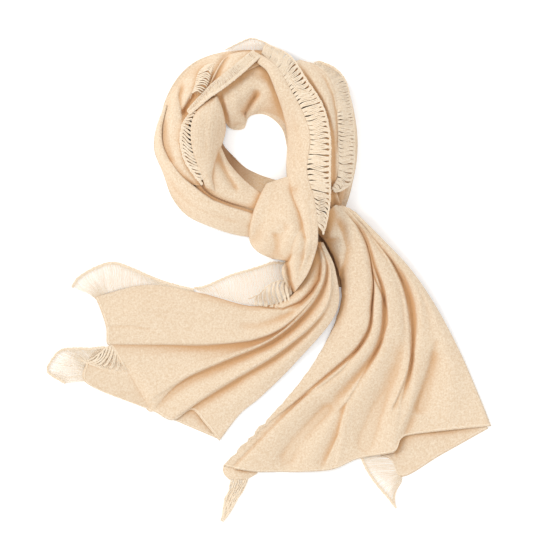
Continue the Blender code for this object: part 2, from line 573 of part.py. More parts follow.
def build_pieces():
    """All solids as (name, points, faces)."""
    pieces = [ring_core(), knot_core()]
    # Columns: name, table, steps along, steps across, level under the top of the pile, over the knot too
    for name, rows, along, across, level, knot in (
            ("front_strand", FRONT_STRAND, 24, 5, -1, True),
            ("right_strand", RIGHT_STRAND, 14, 4, 1, False),
            ("right_under_strand", RIGHT_UNDER_STRAND, 12, 3, 4, False),
            ("ring_top_fold", RING_TOP_FOLD, 14, 6, 3.1, False),
            ("inner_left_band", INNER_LEFT_BAND, 16, 5, 1, False),
            ("lower_inner_band", LOWER_INNER_BAND, 10, 4, 2.5, False),
            ("deep_inner_strip", DEEP_INNER_STRIP, 10, 3, 3.8, False),
            ("outer_left_band", OUTER_LEFT_BAND, 16, 5, 1, False),
            ("lapped_left_band", LAPPED_LEFT_BAND, 18, 6, 2.1, False),
            ("top_left_fold", TOP_LEFT_FOLD, 8, 4, 1, False),
            ("knot_band", KNOT_BAND, 12, 8, 0, True)):
        pieces.append(cloth(name, pile_strip(rows, along, across, level, knot)))
    # Columns: name, table, cells between its rails, level (None on the tails)
    for name, rows, cells, level in (
            ("front_open_band", FRONT_OPEN_BAND, 2, -1),
            ("top_open_band", TOP_OPEN_BAND, 1, 1),
            ("arc_open_band", ARC_OPEN_BAND, 1, 1),
            ("lapped_open_band", LAPPED_OPEN_BAND, 1, 0),
            ("inner_left_open_band", INNER_LEFT_OPEN_BAND, 1, 1),
            ("right_open_band", RIGHT_OPEN_BAND, 2, 1),
            ("left_near_open_band", LEFT_NEAR_OPEN_BAND, 1, None),
            ("left_far_open_band", LEFT_FAR_OPEN_BAND, 1, None),
            ("left_under_open_band", LEFT_UNDER_OPEN_BAND, 1, None),
            ("right_under_open_band", RIGHT_UNDER_OPEN_BAND, 1, None)):
        pieces.append(open_band(name, rows, cells, level))
    pieces.append(cloth("left_tail", fan_sheet(LEFT_TAIL_LINES, LEFT_TAIL_SPINE, 15, 22)))
    pieces.append(cloth("right_tail", fan_sheet(RIGHT_TAIL_LINES, RIGHT_TAIL_SPINE, 15, 30)))
    pieces.append(cloth("left_tail_under", fan_sheet(LEFT_UNDER_LINES, FLAT_SPINE, 8, 3), True))
    pieces.append(cloth("right_tail_under", fan_sheet(RIGHT_UNDER_LINES, FLAT_SPINE, 8, 5), True))
    pieces.append(corner_roll())
    return pieces


def make_object(name, points, faces):
    """One named Blender object with its own material."""
    mesh = bpy.data.meshes.new(name)
    mesh.from_pydata([tuple(p) for p in points * MM], [], faces)
    mesh.update()
    part = bpy.data.objects.new(name, mesh)
    bpy.context.collection.objects.link(part)
    material = bpy.data.materials.new(name + "_knit")
    material.use_nodes = True
    shader = material.node_tree.nodes["Principled BSDF"]
    shader.inputs["Base Color"].default_value = (*CLOTH_COLOUR, 1)
    shader.inputs["Roughness"].default_value = 0.95
    mesh.materials.append(material)
    return part


for old in list(bpy.data.objects):
    bpy.data.objects.remove(old, do_unlink=True)
solids = build_pieces()
everything = np.concatenate([points for _, points, _ in solids])
low, high = everything.min(axis=0), everything.max(axis=0)
middle = np.array([(low[0] + high[0]) / 2, (low[1] + high[1]) / 2, low[2]])
for solid_name, solid_points, solid_faces in solids:
    make_object(solid_name, solid_points - middle, solid_faces)
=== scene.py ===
"""Pashmina shawl with open drop-stitch bands along both selvages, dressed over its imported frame.

Tables are in millimetres in the plan, X right and Y up; heights above the table top are Z.
"""

import bpy
import numpy as np
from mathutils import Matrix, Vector


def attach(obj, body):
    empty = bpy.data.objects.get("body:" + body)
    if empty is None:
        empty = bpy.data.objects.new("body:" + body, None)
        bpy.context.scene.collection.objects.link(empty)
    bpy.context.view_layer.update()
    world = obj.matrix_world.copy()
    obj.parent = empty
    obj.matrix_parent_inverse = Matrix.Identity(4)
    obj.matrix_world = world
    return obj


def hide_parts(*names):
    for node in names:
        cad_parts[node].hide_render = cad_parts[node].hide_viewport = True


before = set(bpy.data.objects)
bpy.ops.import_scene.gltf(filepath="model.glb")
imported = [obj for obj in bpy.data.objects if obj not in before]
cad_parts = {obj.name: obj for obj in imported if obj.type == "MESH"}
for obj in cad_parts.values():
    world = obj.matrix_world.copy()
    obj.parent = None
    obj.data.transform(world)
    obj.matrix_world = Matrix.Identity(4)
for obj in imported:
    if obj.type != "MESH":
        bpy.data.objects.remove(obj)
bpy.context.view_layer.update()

# ---------------------------------------------------------------- hidden layers of the ring and the knot
# The shawl is folded in half lengthwise and wound twice round.  Its inner layers lie pressed together as one
# body with a flat underside; their folded edges show only as soft grooves along its inner and outer sides.
MM = 0.001
MIDDLE = (-1.16, 0.72)   # middle of the cloth in the plan, where the part's origin lies
WALL = 1.2               # thickness of one layer of cloth
LAYER = 3.4              # rise from one lapped layer to the next
EDGE_HEIGHT = 10.0       # height of the ring's inner and outer sides
OUTER_FALL = 1.2         # fall of the pile for each millimetre outside those sides
DOME_POWER = 2.4         # 2 is a round section, more is flatter on top
BLEND_POWER = 8          # how sharply the knot stands out of the ring
REST_GAP = 0.4           # least clearance under a wall that isn't the flat underside
RING_CENTRE = (-16.5, 194.5)
# Ring: angle in degrees from +X, inner radius, outer radius, crest height
RING = (
    (0, 42.5, 145, 40),
    (30, 44, 153.5, 40),
    (60, 44, 139, 38),
    (90, 40, 137.5, 36),
    (120, 28.5, 143.5, 38),
    (150, 40, 145, 41),
    (180, 41, 147.5, 42),
    (210, 38.5, 142, 42),
    (240, 35.5, 143.5, 41),
    (270, 41, 139, 40),
    (300, 51, 146.5, 40),
    (330, 47, 152, 40),
)
# Knot: centre x, centre y, half length, half width, height
KNOT = (47.5, 79.5, 85, 69.5, 56)
# Creases and rolls of the pile: start x, y, end x, y, half width, height change
PILE_FOLDS = (
    (-19, 262.5, -35, 238.5, 8, -8),
    (-63, 315, -84.5, 270, 8, -5),
    (-94.5, 261.5, -113, 235.5, 8, -6),
    (-125.5, 272.5, -121.5, 228.5, 7, -4),
    (-150, 221.5, -141.5, 170.5, 7, -4),
    (9, 62.5, 13.5, 34, 7, -6),
    (35, 128, 49, 62.5, 8, -4),
)
CORE_DEPTH = 19.0        # hidden layers start this far under the top of the ring
CORE_INSET = 0.13        # and this fraction of the ring's width inside its sides
CORE_LEAST = 4.0         # least height of these layers; half of it under the knot
CORE_GROOVE = 0.9        # depth of the grooves between the pressed layers
CORE_ROWS, CORE_COLUMNS = 240, 61
CORE_MEAN_RADIUS = 95.0  # the columns of stitches run round the ring at this radius
# Hidden layers under the knot: inner x, y, outer x, y, height at the inner side, at the outer side
KNOT_CORE = (
    (20.5, 20, 20.5, -28.5, 5, 5),
    (30.5, 47, 39, -24, 8, 6),
    (43.5, 72.5, 63, -10, 15, 7),
    (60.5, 82.5, 91.5, -10, 18, 5),
    (77.5, 92.5, 110, -3, 19, 5),
    (90, 98, 117, 57, 15, 7),
    (96, 99.5, 118.5, 74, 13, 7),
)


def curve(points, count, closed=False):
    """Smooth run through the rows of a table at evenly spaced steps: Catmull-Rom, a cubic between each two
    rows that leaves each row in the direction from the row before it to the row after it."""
    rows = np.asarray(points, float)
    last = len(rows) if closed else len(rows) - 1
    place = np.linspace(0, last, count + 1)
    cell = np.minimum(place.astype(int), last - 1)
    part = (place - cell).reshape((-1,) + (1,) * (rows.ndim - 1))
    if closed:
        p0, p1, p2, p3 = (rows[(cell + k) % len(rows)] for k in (-1, 0, 1, 2))
    else:
        ends = np.concatenate([2 * rows[:1] - rows[1:2], rows, 2 * rows[-1:] - rows[-2:-1]])
        p0, p1, p2, p3 = (ends[cell + k] for k in (0, 1, 2, 3))
    return 0.5 * (2 * p1 + (p2 - p0) * part + (2 * p0 - 5 * p1 + 4 * p2 - p3) * part ** 2
                  + (3 * p1 - p0 - 3 * p2 + p3) * part ** 3)


def between(rows, share, first=0, last=2):
    """Value at each share of the way from columns first to last of each row to the columns after them."""
    start, end = rows[:, None, first:last], rows[:, None, last:2 * last - first]
    return start + (end - start) * share[..., None]


def ring_relief(x, y):
    """Height of the wound ring: a dome across its width, EDGE_HEIGHT at both sides, falling away outside."""
    dx, dy = x - RING_CENTRE[0], y - RING_CENTRE[1]
    angle = np.degrees(np.arctan2(dy, dx)) % 360
    fine = curve(RING, 360, closed=True)
    inner, outer, crest = (np.interp(angle, np.arange(361), fine[:, k]) for k in (1, 2, 3))
    across = 2 * (np.hypot(dx, dy) - inner) / (outer - inner) - 1
    inside = EDGE_HEIGHT + (crest - EDGE_HEIGHT) * (1 - np.abs(np.clip(across, -1, 1)) ** DOME_POWER)
    beyond = np.maximum(np.abs(across) - 1, 0) * (outer - inner) / 2
    return np.maximum(inside - OUTER_FALL * beyond, 0)


def bell(distance, width):
    """Bell curve: 1 at no distance, e to the power of minus the square of distance by width elsewhere."""
    return np.exp(-(distance / width) ** 2)


def to_leg(x, y, start, run, squared):
    """Share of the way along a straight leg where it comes nearest to each point, and the distance there;
    squared is the square of the leg's length."""
    along = np.clip(((x - start[0]) * run[0] + (y - start[1]) * run[1]) / squared, 0, 1)
    return along, np.hypot(x - start[0] - along * run[0], y - start[1] - along * run[1])


def crease(x, y, left, right, change, line):
    """Trough or ridge along a line of plan points: change times a bell of the distance to the line, of half
    width left on the left of its run and right on its right, fading over its last sixth at both ends."""
    line = np.reshape(np.array(line, float), (-1, 2))
    runs = np.diff(line, axis=0)
    legs = np.linalg.norm(runs, axis=1)
    nearest = np.full(x.shape, np.inf)
    share = np.zeros(x.shape)
    width = np.full(x.shape, float(left))
    for start, run, leg, before in zip(line, runs, legs, np.cumsum(legs) - legs):
        along, distance = to_leg(x, y, start, run, leg ** 2)
        closer = distance < nearest
        on_left = run[0] * (y - start[1]) - run[1] * (x - start[0]) > 0
        nearest = np.where(closer, distance, nearest)
        share = np.where(closer, (before + along * leg) / legs.sum(), share)
        width = np.where(closer, np.where(on_left, left, right), width)
    fade = np.clip(6 * np.minimum(share, 1 - share), 0, 1)
    return change * bell(nearest, width) * fade * (2 - fade)


def blended(one, other):
    """Smooth maximum of two heights: the eighth root of the sum of their eighth powers."""
    return (one ** BLEND_POWER + other ** BLEND_POWER) ** (1 / BLEND_POWER)


def relief(x, y, knot=True):
    """Height of the whole pile: ring and knot blended, plus a bell across each of its folds."""
    top = ring_relief(x, y)
    if knot:
        oval = np.hypot((x - KNOT[0]) / KNOT[2], (y - KNOT[1]) / KNOT[3])
        dome = KNOT[4] * (1 - np.minimum(oval, 1) ** DOME_POWER)
        top = blended(top, dome)
    for x0, y0, x1, y1, half_width, change in PILE_FOLDS:
        run = (x1 - x0, y1 - y0)
        distance = to_leg(x, y, (x0, y0), run, run[0] ** 2 + run[1] ** 2)[1]
        top = top + change * bell(distance, half_width)
    return np.maximum(top, 0)


def piece(name, points, faces, material, uv=None):
    """Mesh object at the origin from points in millimetres; uv holds a place in the knit for each point."""
    mesh = bpy.data.meshes.new(name)
    moved = (np.asarray(points, float) - (*MIDDLE, 0)) * MM
    mesh.from_pydata(moved, [], faces)
    if uv is not None:
        corner = np.empty(len(mesh.loops), np.int32)
        mesh.loops.foreach_get("vertex_index", corner)
        layer = mesh.uv_layers.new(name="knit_place")
        layer.data.foreach_set("uv", np.asarray(uv, np.float32)[corner].ravel())
    mesh.polygons.foreach_set("use_smooth", np.ones(len(mesh.polygons), bool))
    mesh.materials.append(material)
    made = bpy.data.objects.new(name, mesh)
    bpy.context.collection.objects.link(made)
    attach(made, "root")
    return made


def shell_faces(rows, columns, wrap=False):
    """Quads of a closed wall between a top grid and a bottom grid that follows it in the point list."""
    index = np.arange(rows * columns).reshape(rows, columns)
    if wrap:
        index = np.concatenate([index, index[:1]])
    a, b, c, d = index[:-1, :-1], index[1:, :-1], index[1:, 1:], index[:-1, 1:]
    under = rows * columns
    parts = [np.stack([a, b, c, d], axis=-1).reshape(-1, 4),
             np.stack([d, c, b, a], axis=-1).reshape(-1, 4) + under]
    borders = [(index[:-1, 0], index[1:, 0]), (index[1:, -1], index[:-1, -1])]
    if not wrap:
        borders += [(index[0, 1:], index[0, :-1]), (index[-1, :-1], index[-1, 1:])]
    for p, q in borders:
        parts.append(np.stack([q, p, p + under, q + under], axis=-1))
    return np.concatenate(parts).tolist()


def shell(name, top, bottom, material, uv, wrap=False):
    """One body between a top grid and a bottom grid of points, joined round, with the same uv on both."""
    points = np.concatenate([top.reshape(-1, 3), bottom.reshape(-1, 3)])
    faces = shell_faces(*top.shape[:2], wrap=wrap)
    return piece(name, points, faces, material, np.tile(uv.reshape(-1, 2), (2, 1)))


def linear(code):
    """An sRGB hex value as a linear colour: each channel c becomes c / 12.92 up to 0.04045 and
    ((c + 0.055) / 1.055) to the power 2.4 above."""
    channels = np.array([int(code[i:i + 2], 16) / 255 for i in (1, 3, 5)])
    low = channels / 12.92
    return (*np.where(channels <= 0.04045, low, ((channels + 0.055) / 1.055) ** 2.4).tolist(), 1.0)


def add(tree, kind, inputs=None, **settings):
    """Adds a shader node, sets its properties and fills its inputs with values or links."""
    node = tree.nodes.new("ShaderNode" + kind)
    for key, value in settings.items():
        setattr(node, key, value)
    for key, value in (inputs or {}).items():
        if isinstance(value, bpy.types.NodeSocket):
            tree.links.new(value, node.inputs[key])
        else:
            node.inputs[key].default_value = value
    return node


# Fine cashmere jersey, brushed: the fibre halo softens every edge of light, the dyed and undyed hairs in the
# yarn leave a faint heather, and the columns of stitches show only as a grain along the cloth.
STITCH_WIDTH = 2.6       # a real stitch is about 1.7 mm wide; drawn coarser so that its column shows
STITCH_HEIGHT = 2.0
STITCH_RELIEF = 0.0012   # height of a whole stitch and its fuzz, in metres
FLECKS_PER_METRE = 650.0    # darker hairs, 1.5 mm apart
HEATHER_PER_METRE = 380.0   # a lighter or darker yarn at about every stitch, 2.6 mm
PATCHES_PER_METRE = 14.0    # slow change of shade over 7 cm
# The last share is painted shade: how far a deep fold pulls the colour to a brown that stands for shade.
FLECK_SHARE, PATCH_SHARE, PAINTED_SHADE_SHARE = 0.2, 0.06, 0.85   # how far each pulls the colour to its own
FUZZ = 1.2               # relief of the heather's noise against that of a stitch


def cashmere(name, light, mid, deep, painted_shade="#C8935A", grain=0.35):
    """Brushed jersey: colour by three noises from flecks to patches, browned by painted shade in deep folds;
    V-shaped stitches.
    """
    material = bpy.data.materials.new(name)
    material.use_nodes = True
    tree = material.node_tree
    shader = tree.nodes["Principled BSDF"]
    for key, value in {"Roughness": 0.92, "Specular IOR Level": 0.18, "Sheen Weight": 0.22,
                       "Sheen Roughness": 0.55, "Sheen Tint": linear("#FFF3E2")}.items():
        shader.inputs[key].default_value = value
    place = add(tree, "TexCoord").outputs["Object"]
    flecks, heather, patches = (
        add(tree, "TexNoise", {"Vector": place, "Scale": scale, "Detail": detail,
                               "Roughness": rough}).outputs["Fac"]
        for scale, detail, rough in ((FLECKS_PER_METRE, 3.0, 0.65), (HEATHER_PER_METRE, 3.0, 0.6),
                                     (PATCHES_PER_METRE, 2.0, 0.5)))
    hairs, cloud, broad = (
        add(tree, "MapRange", {"Value": noise, "From Min": low, "From Max": 1 - low, "To Min": 0.0,
                               "To Max": full}).outputs["Result"]
        for noise, low, full in ((flecks, 0.38, 1.0), (heather, 0.35, 1.0), (patches, 0.3, PATCH_SHARE)))
    # Painted shade: each point's depth in the folds, kept as an attribute, browns the colour.
    fold_shade = add(tree, "Attribute", attribute_name="painted_fold_shade").outputs["Fac"]
    dark, shade_mix = (add(tree, "Math", {0: amount, 1: share}, operation="MULTIPLY").outputs[0]
                  for amount, share in ((hairs, FLECK_SHARE), (fold_shade, PAINTED_SHADE_SHARE)))
    colour = linear(mid)
    for share, code in ((cloud, light), (dark, deep), (broad, deep), (shade_mix, painted_shade)):
        colour = add(tree, "Mix", {"Factor": share, "A": colour, "B": linear(code)},
                     data_type="RGBA").outputs["Result"]
    tree.links.new(colour, shader.inputs["Base Color"])
    in_knit = add(tree, "UVMap", uv_map="knit_place").outputs["UV"]
    stitch = add(tree, "SeparateXYZ", {"Vector": in_knit}).outputs
    column = add(tree, "Math", {0: stitch["X"], 1: 1 / STITCH_WIDTH}, operation="MULTIPLY").outputs[0]
    leg = add(tree, "Math", {0: column, 1: 1.0}, operation="PINGPONG").outputs[0]
    slant = add(tree, "Math", {0: stitch["Y"], 1: 1 / STITCH_HEIGHT, 2: leg},
                operation="MULTIPLY_ADD").outputs[0]
    row, valley = (add(tree, "Math", {0: value, 1: 0.5}, operation="PINGPONG").outputs[0]
                   for value in (slant, column))
    loop = add(tree, "Math", {0: row, 1: valley}, operation="ADD").outputs[0]
    fuzz = add(tree, "Math", {0: heather, 1: FUZZ, 2: loop}, operation="MULTIPLY_ADD").outputs[0]
    bump = add(tree, "Bump", {"Height": fuzz, "Strength": grain, "Distance": STITCH_RELIEF})
    tree.links.new(bump.outputs["Normal"], shader.inputs["Normal"])
    return material


knit = cashmere("brushed_cashmere_jersey", "#EDDDC6", "#DEC7AA", "#BA8F64")
# Pressed between the other layers the same jersey gets next to no light. This copy has that shade painted in:
# darker colours all over and dark brown painted shade in its hollows.
pressed_shaded_knit = cashmere("jersey_pressed_with_painted_shade", "#E6D2B6", "#D6BA95", "#B4875A", painted_shade="#8A5C34")

core_rows = curve(RING, CORE_ROWS, closed=True)[:-1]
core_angle = np.radians(np.linspace(0, 360, CORE_ROWS, endpoint=False))
core_across = np.linspace(CORE_INSET, 1 - CORE_INSET, CORE_COLUMNS)
core_radius = between(core_rows, core_across[None], 1, 2)[..., 0]
core_x = RING_CENTRE[0] + core_radius * np.cos(core_angle)[:, None]
core_y = RING_CENTRE[1] + core_radius * np.sin(core_angle)[:, None]
core_top = np.maximum(relief(core_x, core_y, knot=False) - CORE_DEPTH, CORE_LEAST)
pressed = CORE_GROOVE * np.abs(np.sin(np.pi * core_top / LAYER))
core_grid = np.dstack([core_x, core_y, core_top - pressed])[:, ::-1]
core_round = np.broadcast_to(core_angle[:, None] * CORE_MEAN_RADIUS, core_radius.shape)
core_uv = np.dstack([core_radius[:, ::-1], core_round])
ring_layers = shell("ring_layers", core_grid, core_grid * (1, 1, 0), pressed_shaded_knit, core_uv, wrap=True)
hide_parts("ring_core")

# Between the two tails the pressed layers sink: half width on the left and the right of the line's run,
# change of height, plan points
KNOT_GAP = (9, 9, -9.0, (66, 76.5, 79, 51, 89, 25.5, 96, -14, 97.5, -28.5))
KNOT_ROWS, KNOT_COLUMNS = 61, 31

under_rows = curve(KNOT_CORE, KNOT_ROWS - 1)
under_share = np.linspace(0, 1, KNOT_COLUMNS)[None]
under_plan = between(under_rows, under_share)
under_height = between(under_rows, under_share, 4, 5)
under_height = under_height - CORE_GROOVE * np.abs(np.sin(np.pi * under_height / LAYER))
under_height += crease(under_plan[..., 0], under_plan[..., 1], *KNOT_GAP)[..., None]
under_height = np.maximum(under_height, CORE_LEAST / 2)
under_grid = np.dstack([under_plan, under_height])[:, ::-1]
knot_layers = shell("knot_layers", under_grid, under_grid * (1, 1, 0), pressed_shaded_knit, under_grid[..., :2])
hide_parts("knot_core")

# ---------------------------------------------------------------- wound stretches of the ring and the knot
# Each stretch that shows is one folded length of the jersey, lying over the layers below.  Its long edges
# are folds, so they roll under; soft lengthwise ripples run where the cloth was gathered to be wound.
GRID = 2.0               # spacing of the surface's points along and across the cloth
TINY = 1e-9              # keeps a division by a length from failing
FINE_STEPS = 400         # steps along a table before it is resampled evenly
LEAST_ROWS, LEAST_COLUMNS, LEAST_POINTS = 8, 6, 4   # fewest steps of a grid and of a line
# Columns: first edge x, y, second edge x, y, lift at the first edge, in the middle and at the second edge,
# least height where it crosses the knot.  The front strand's folded edge swings out over the knot's foot
# before it ends in a point.
FRONT_STRAND = (
    (-18, 306.5, -12, 319.5, -5, -5, -5, 0),
    (-3.5, 294, 10.5, 301, 0, 0, 0, 0),
    (8, 267, 29, 270, 0, 0, 0, 0),
    (19, 234.5, 47.5, 235.5, 0, 0, 0, 0),
    (25, 199, 57.5, 201.5, 0, 0, 0, 0),
    (23.5, 156, 53, 153.5, 0, 0, 0, 0),
    (29, 116.5, 63, 115, 0, 0, 0, 0),
    (40.5, 85, 67.5, 85, 0, 0, 0, 0),
    (29, 52.5, 68, 54, 0, 0, 0, 15),
    (23.5, 30, 63, 32.5, 0, 0, 0, 35),
    (17, 14, 56, 13, 0, 0, 0, 33),
    (20.5, 0, 47.5, -1.5, 0, 0, 0, 29),
    (28.5, -14, 35, -18, 0, 0, 0, 20),
)
# The other stretches have the same columns without the least height.
RIGHT_STRAND = (
    (18, 304, 43.5, 312.5, 0, 0, -3),
    (37.5, 289.5, 66, 304, 0, 0, -2),
    (52, 265.5, 86, 284, 0, 1, -2),
    (64.5, 234.5, 94.5, 254, 0, 1, -2),
    (70.5, 199, 97.5, 213, 0, 1, -2),
    (69, 163.5, 97.5, 170.5, 0, 1, -2),
    (74.5, 130.5, 94.5, 132, 0, 0, -2),
    (77.5, 111, 100, 108, 0, 0, -1),
    (80, 101.5, 100, 101.5, 0, 0, -1),
)
RIGHT_UNDER_STRAND = (
    (43.5, 301, 47.5, 311, 0, 0, 0),
    (74.5, 278.5, 83, 301, 0, 0, 0),
    (89, 250, 110, 272.5, 0, 0, 0),
    (91.5, 216, 123, 220, 0, 0, 0),
    (91.5, 173, 124, 173, 0, 0, 0),
    (86, 135, 115.5, 128, 0, 0, 0),
    (86, 115, 110, 109.5, 0, 0, 0),
    (87.5, 103.5, 107, 101.5, 0, 0, 0),
)
RING_TOP_FOLD = (
    (-90, 238.5, -67.5, 241.5, 0, 0, 0),
    (-81.5, 264, -58, 216.5, 0, 0, 1),
    (-62, 284, -37.5, 214.5, 0, 0, -2),
    (-42, 297, -29, 231.5, 0, 0, -1),
    (-20.5, 304, -10.5, 235.5, 0, 0, -1),
    (6.5, 295.5, 6.5, 227, 0, 0, -1),
    (26.5, 270, 19, 211.5, 0, 0, -1),
    (39, 238.5, 25, 187.5, 0, 0, -1),
)
INNER_LEFT_BAND = (
    (-81.5, 257, -73, 260, 0, 0, 0),
    (-98.5, 245.5, -66, 240, 0, 0, -1),
    (-110, 224.5, -62, 216, 0, 1, -3),
    (-111.5, 199, -66, 196, 0, 1, -3),
    (-107, 176, -74.5, 173, 0, 1, -3),
    (-98.5, 153.5, -80, 147.5, 0, 0, -2),
    (-93, 136.5, -76.5, 130.5, -3, -2.5, -4),
    (-89, 120.5, -69, 119.5, -10, -9, -9),
)
LOWER_INNER_BAND = (
    (-90, 176, -69, 189, 0, 0, 0),
    (-98.5, 145, -57.5, 166, -2.5, 0, -1),
    (-103, 128, -37.5, 143.5, -2.5, 1, -2),
    (-54.5, 95, -16.5, 126.5, 0, 0, -2),
    (-19, 85, 0.5, 115, 0, 0, -2),
)
DEEP_INNER_STRIP = (
    (-80, 201.5, -69, 199, -3, -3, -3),
    (-76, 187.5, -63, 188, -1, -1, -1),
    (-67.5, 170.5, -50.5, 174.5, 0, 0, 0),
    (-57.5, 155, -36, 160.5, 0, 0, 0),
    (-39, 136.5, -21.5, 152.5, 0, 0, 0),
    (-16.5, 123.5, -6.5, 146.5, 0, 0, 0),
    (8, 116.5, 16.5, 140.5, 0, 0, 0),
    (32, 116.5, 32, 145, 0, 0, 0),
)
OUTER_LEFT_BAND = (
    (-148.5, 248.5, -145.5, 247, -1, -1, -1),
    (-161, 216, -152.5, 213, -2, 1, 1),
    (-164, 184.5, -148.5, 184.5, -4, 1, 0),
    (-151, 150.5, -127, 150.5, -5, 1, 0),
    (-138.5, 116.5, -100, 128, -5, 1, 0),
    (-117, 91, -73, 112, -5, 1, 0),
    (-84.5, 75.5, -44.5, 102, -5, 0, -1),
    (-49, 64, -19, 95, -5, -1, -2),
    (-16.5, 59.5, 3.5, 91, -4, -3, -3),
)
LAPPED_LEFT_BAND = (
    (-5, 326, -8, 306.5, -2, 0, 0),
    (-42, 326, -37.5, 292.5, -2, 0, 0),
    (-77.5, 321, -67.5, 272.5, -3, 0, 0),
    (-108.5, 308, -90, 250, -4, 0, 0),
    (-133, 284, -104.5, 235.5, -4, 0, 0),
    (-150, 250, -113, 221.5, -4, 0, 0),
    (-154, 217.5, -114.5, 199, -2, 0, 0),
    (-152.5, 184.5, -110, 176, -1, 0, 0),
    (-138.5, 153.5, -100, 150.5, 0, 0, 0),
    (-115.5, 135, -93, 132, 0, 0, 0),
)
TOP_LEFT_FOLD = (
    (-8, 322.5, -13.5, 308, 0, 0, 0),
    (-36, 324, -37.5, 302.5, -1, 1, 0),
    (-62, 316.5, -59, 287, -1, 1, 0),
    (-77.5, 294, -76, 272.5, 0, 1, 0),
    (-87.5, 270, -89, 260, 0, 0, 0),
)
KNOT_BAND = (
    (-5, 136.5, 32, 149, -3, 0, 0),
    (-15, 118, 40.5, 125, -3, 1, 0),
    (-23.5, 96.5, 47.5, 102, 0, 1, 0),
    (-29, 74, 52, 76.5, 0, 1, -1),
    (-27.5, 52.5, 50.5, 52.5, -2, 1, -1),
    (-15, 38.5, 47.5, 37, -2, 0, 0),
    (3.5, 30, 40.5, 24, -2, 0, 0),
)

# Rows: stretch, table, level under the top of the pile, whether the knot lifts it, radius of the rolled edge
# at the first side, at the second side, crown of its middle, ripples across it, their height
STRETCHES = (
    ("front_strand", FRONT_STRAND, -1, True, 10, 1.6, 1.0, 1.4, 0.35),
    ("right_strand", RIGHT_STRAND, 1, False, 3, 2.2, 1.5, 1.5, 0.35),
    ("right_under_strand", RIGHT_UNDER_STRAND, 4, False, 1.6, 4, 0, 1.0, 0.3),
    ("ring_top_fold", RING_TOP_FOLD, 3.1, False, 1.6, 5, 0, 2.2, 0.5),
    ("inner_left_band", INNER_LEFT_BAND, 1, False, 2, 6, 0.8, 1.6, 0.4),
    ("lower_inner_band", LOWER_INNER_BAND, 2.5, False, 1.8, 3, 0, 1.5, 0.3),
    ("deep_inner_strip", DEEP_INNER_STRIP, 3.8, False, 1.6, 4, 0, 1.0, 0.3),
    ("outer_left_band", OUTER_LEFT_BAND, 1, False, 6, 3.6, 0.8, 1.8, 0.5),
    ("lapped_left_band", LAPPED_LEFT_BAND, 2.1, False, 3, 2, 0.6, 2.4, 0.5),
    ("top_left_fold", TOP_LEFT_FOLD, 1, False, 2.5, 2, 0.5, 1.3, 0.3),
    ("knot_band", KNOT_BAND, 0, True, 8, 2, 0.5, 1.6, 0.4),
)

# Ends that sink under their neighbours: how deep the start lies and over what length, the same of the end
SUNK_ENDS = {
    "outer_left_band": (3, 45, 0, 1),
    "top_left_fold": (4, 12, 1, 10),
    "inner_left_band": (3, 14, 0, 1),
    "lapped_left_band": (0, 1, 2, 12),
}

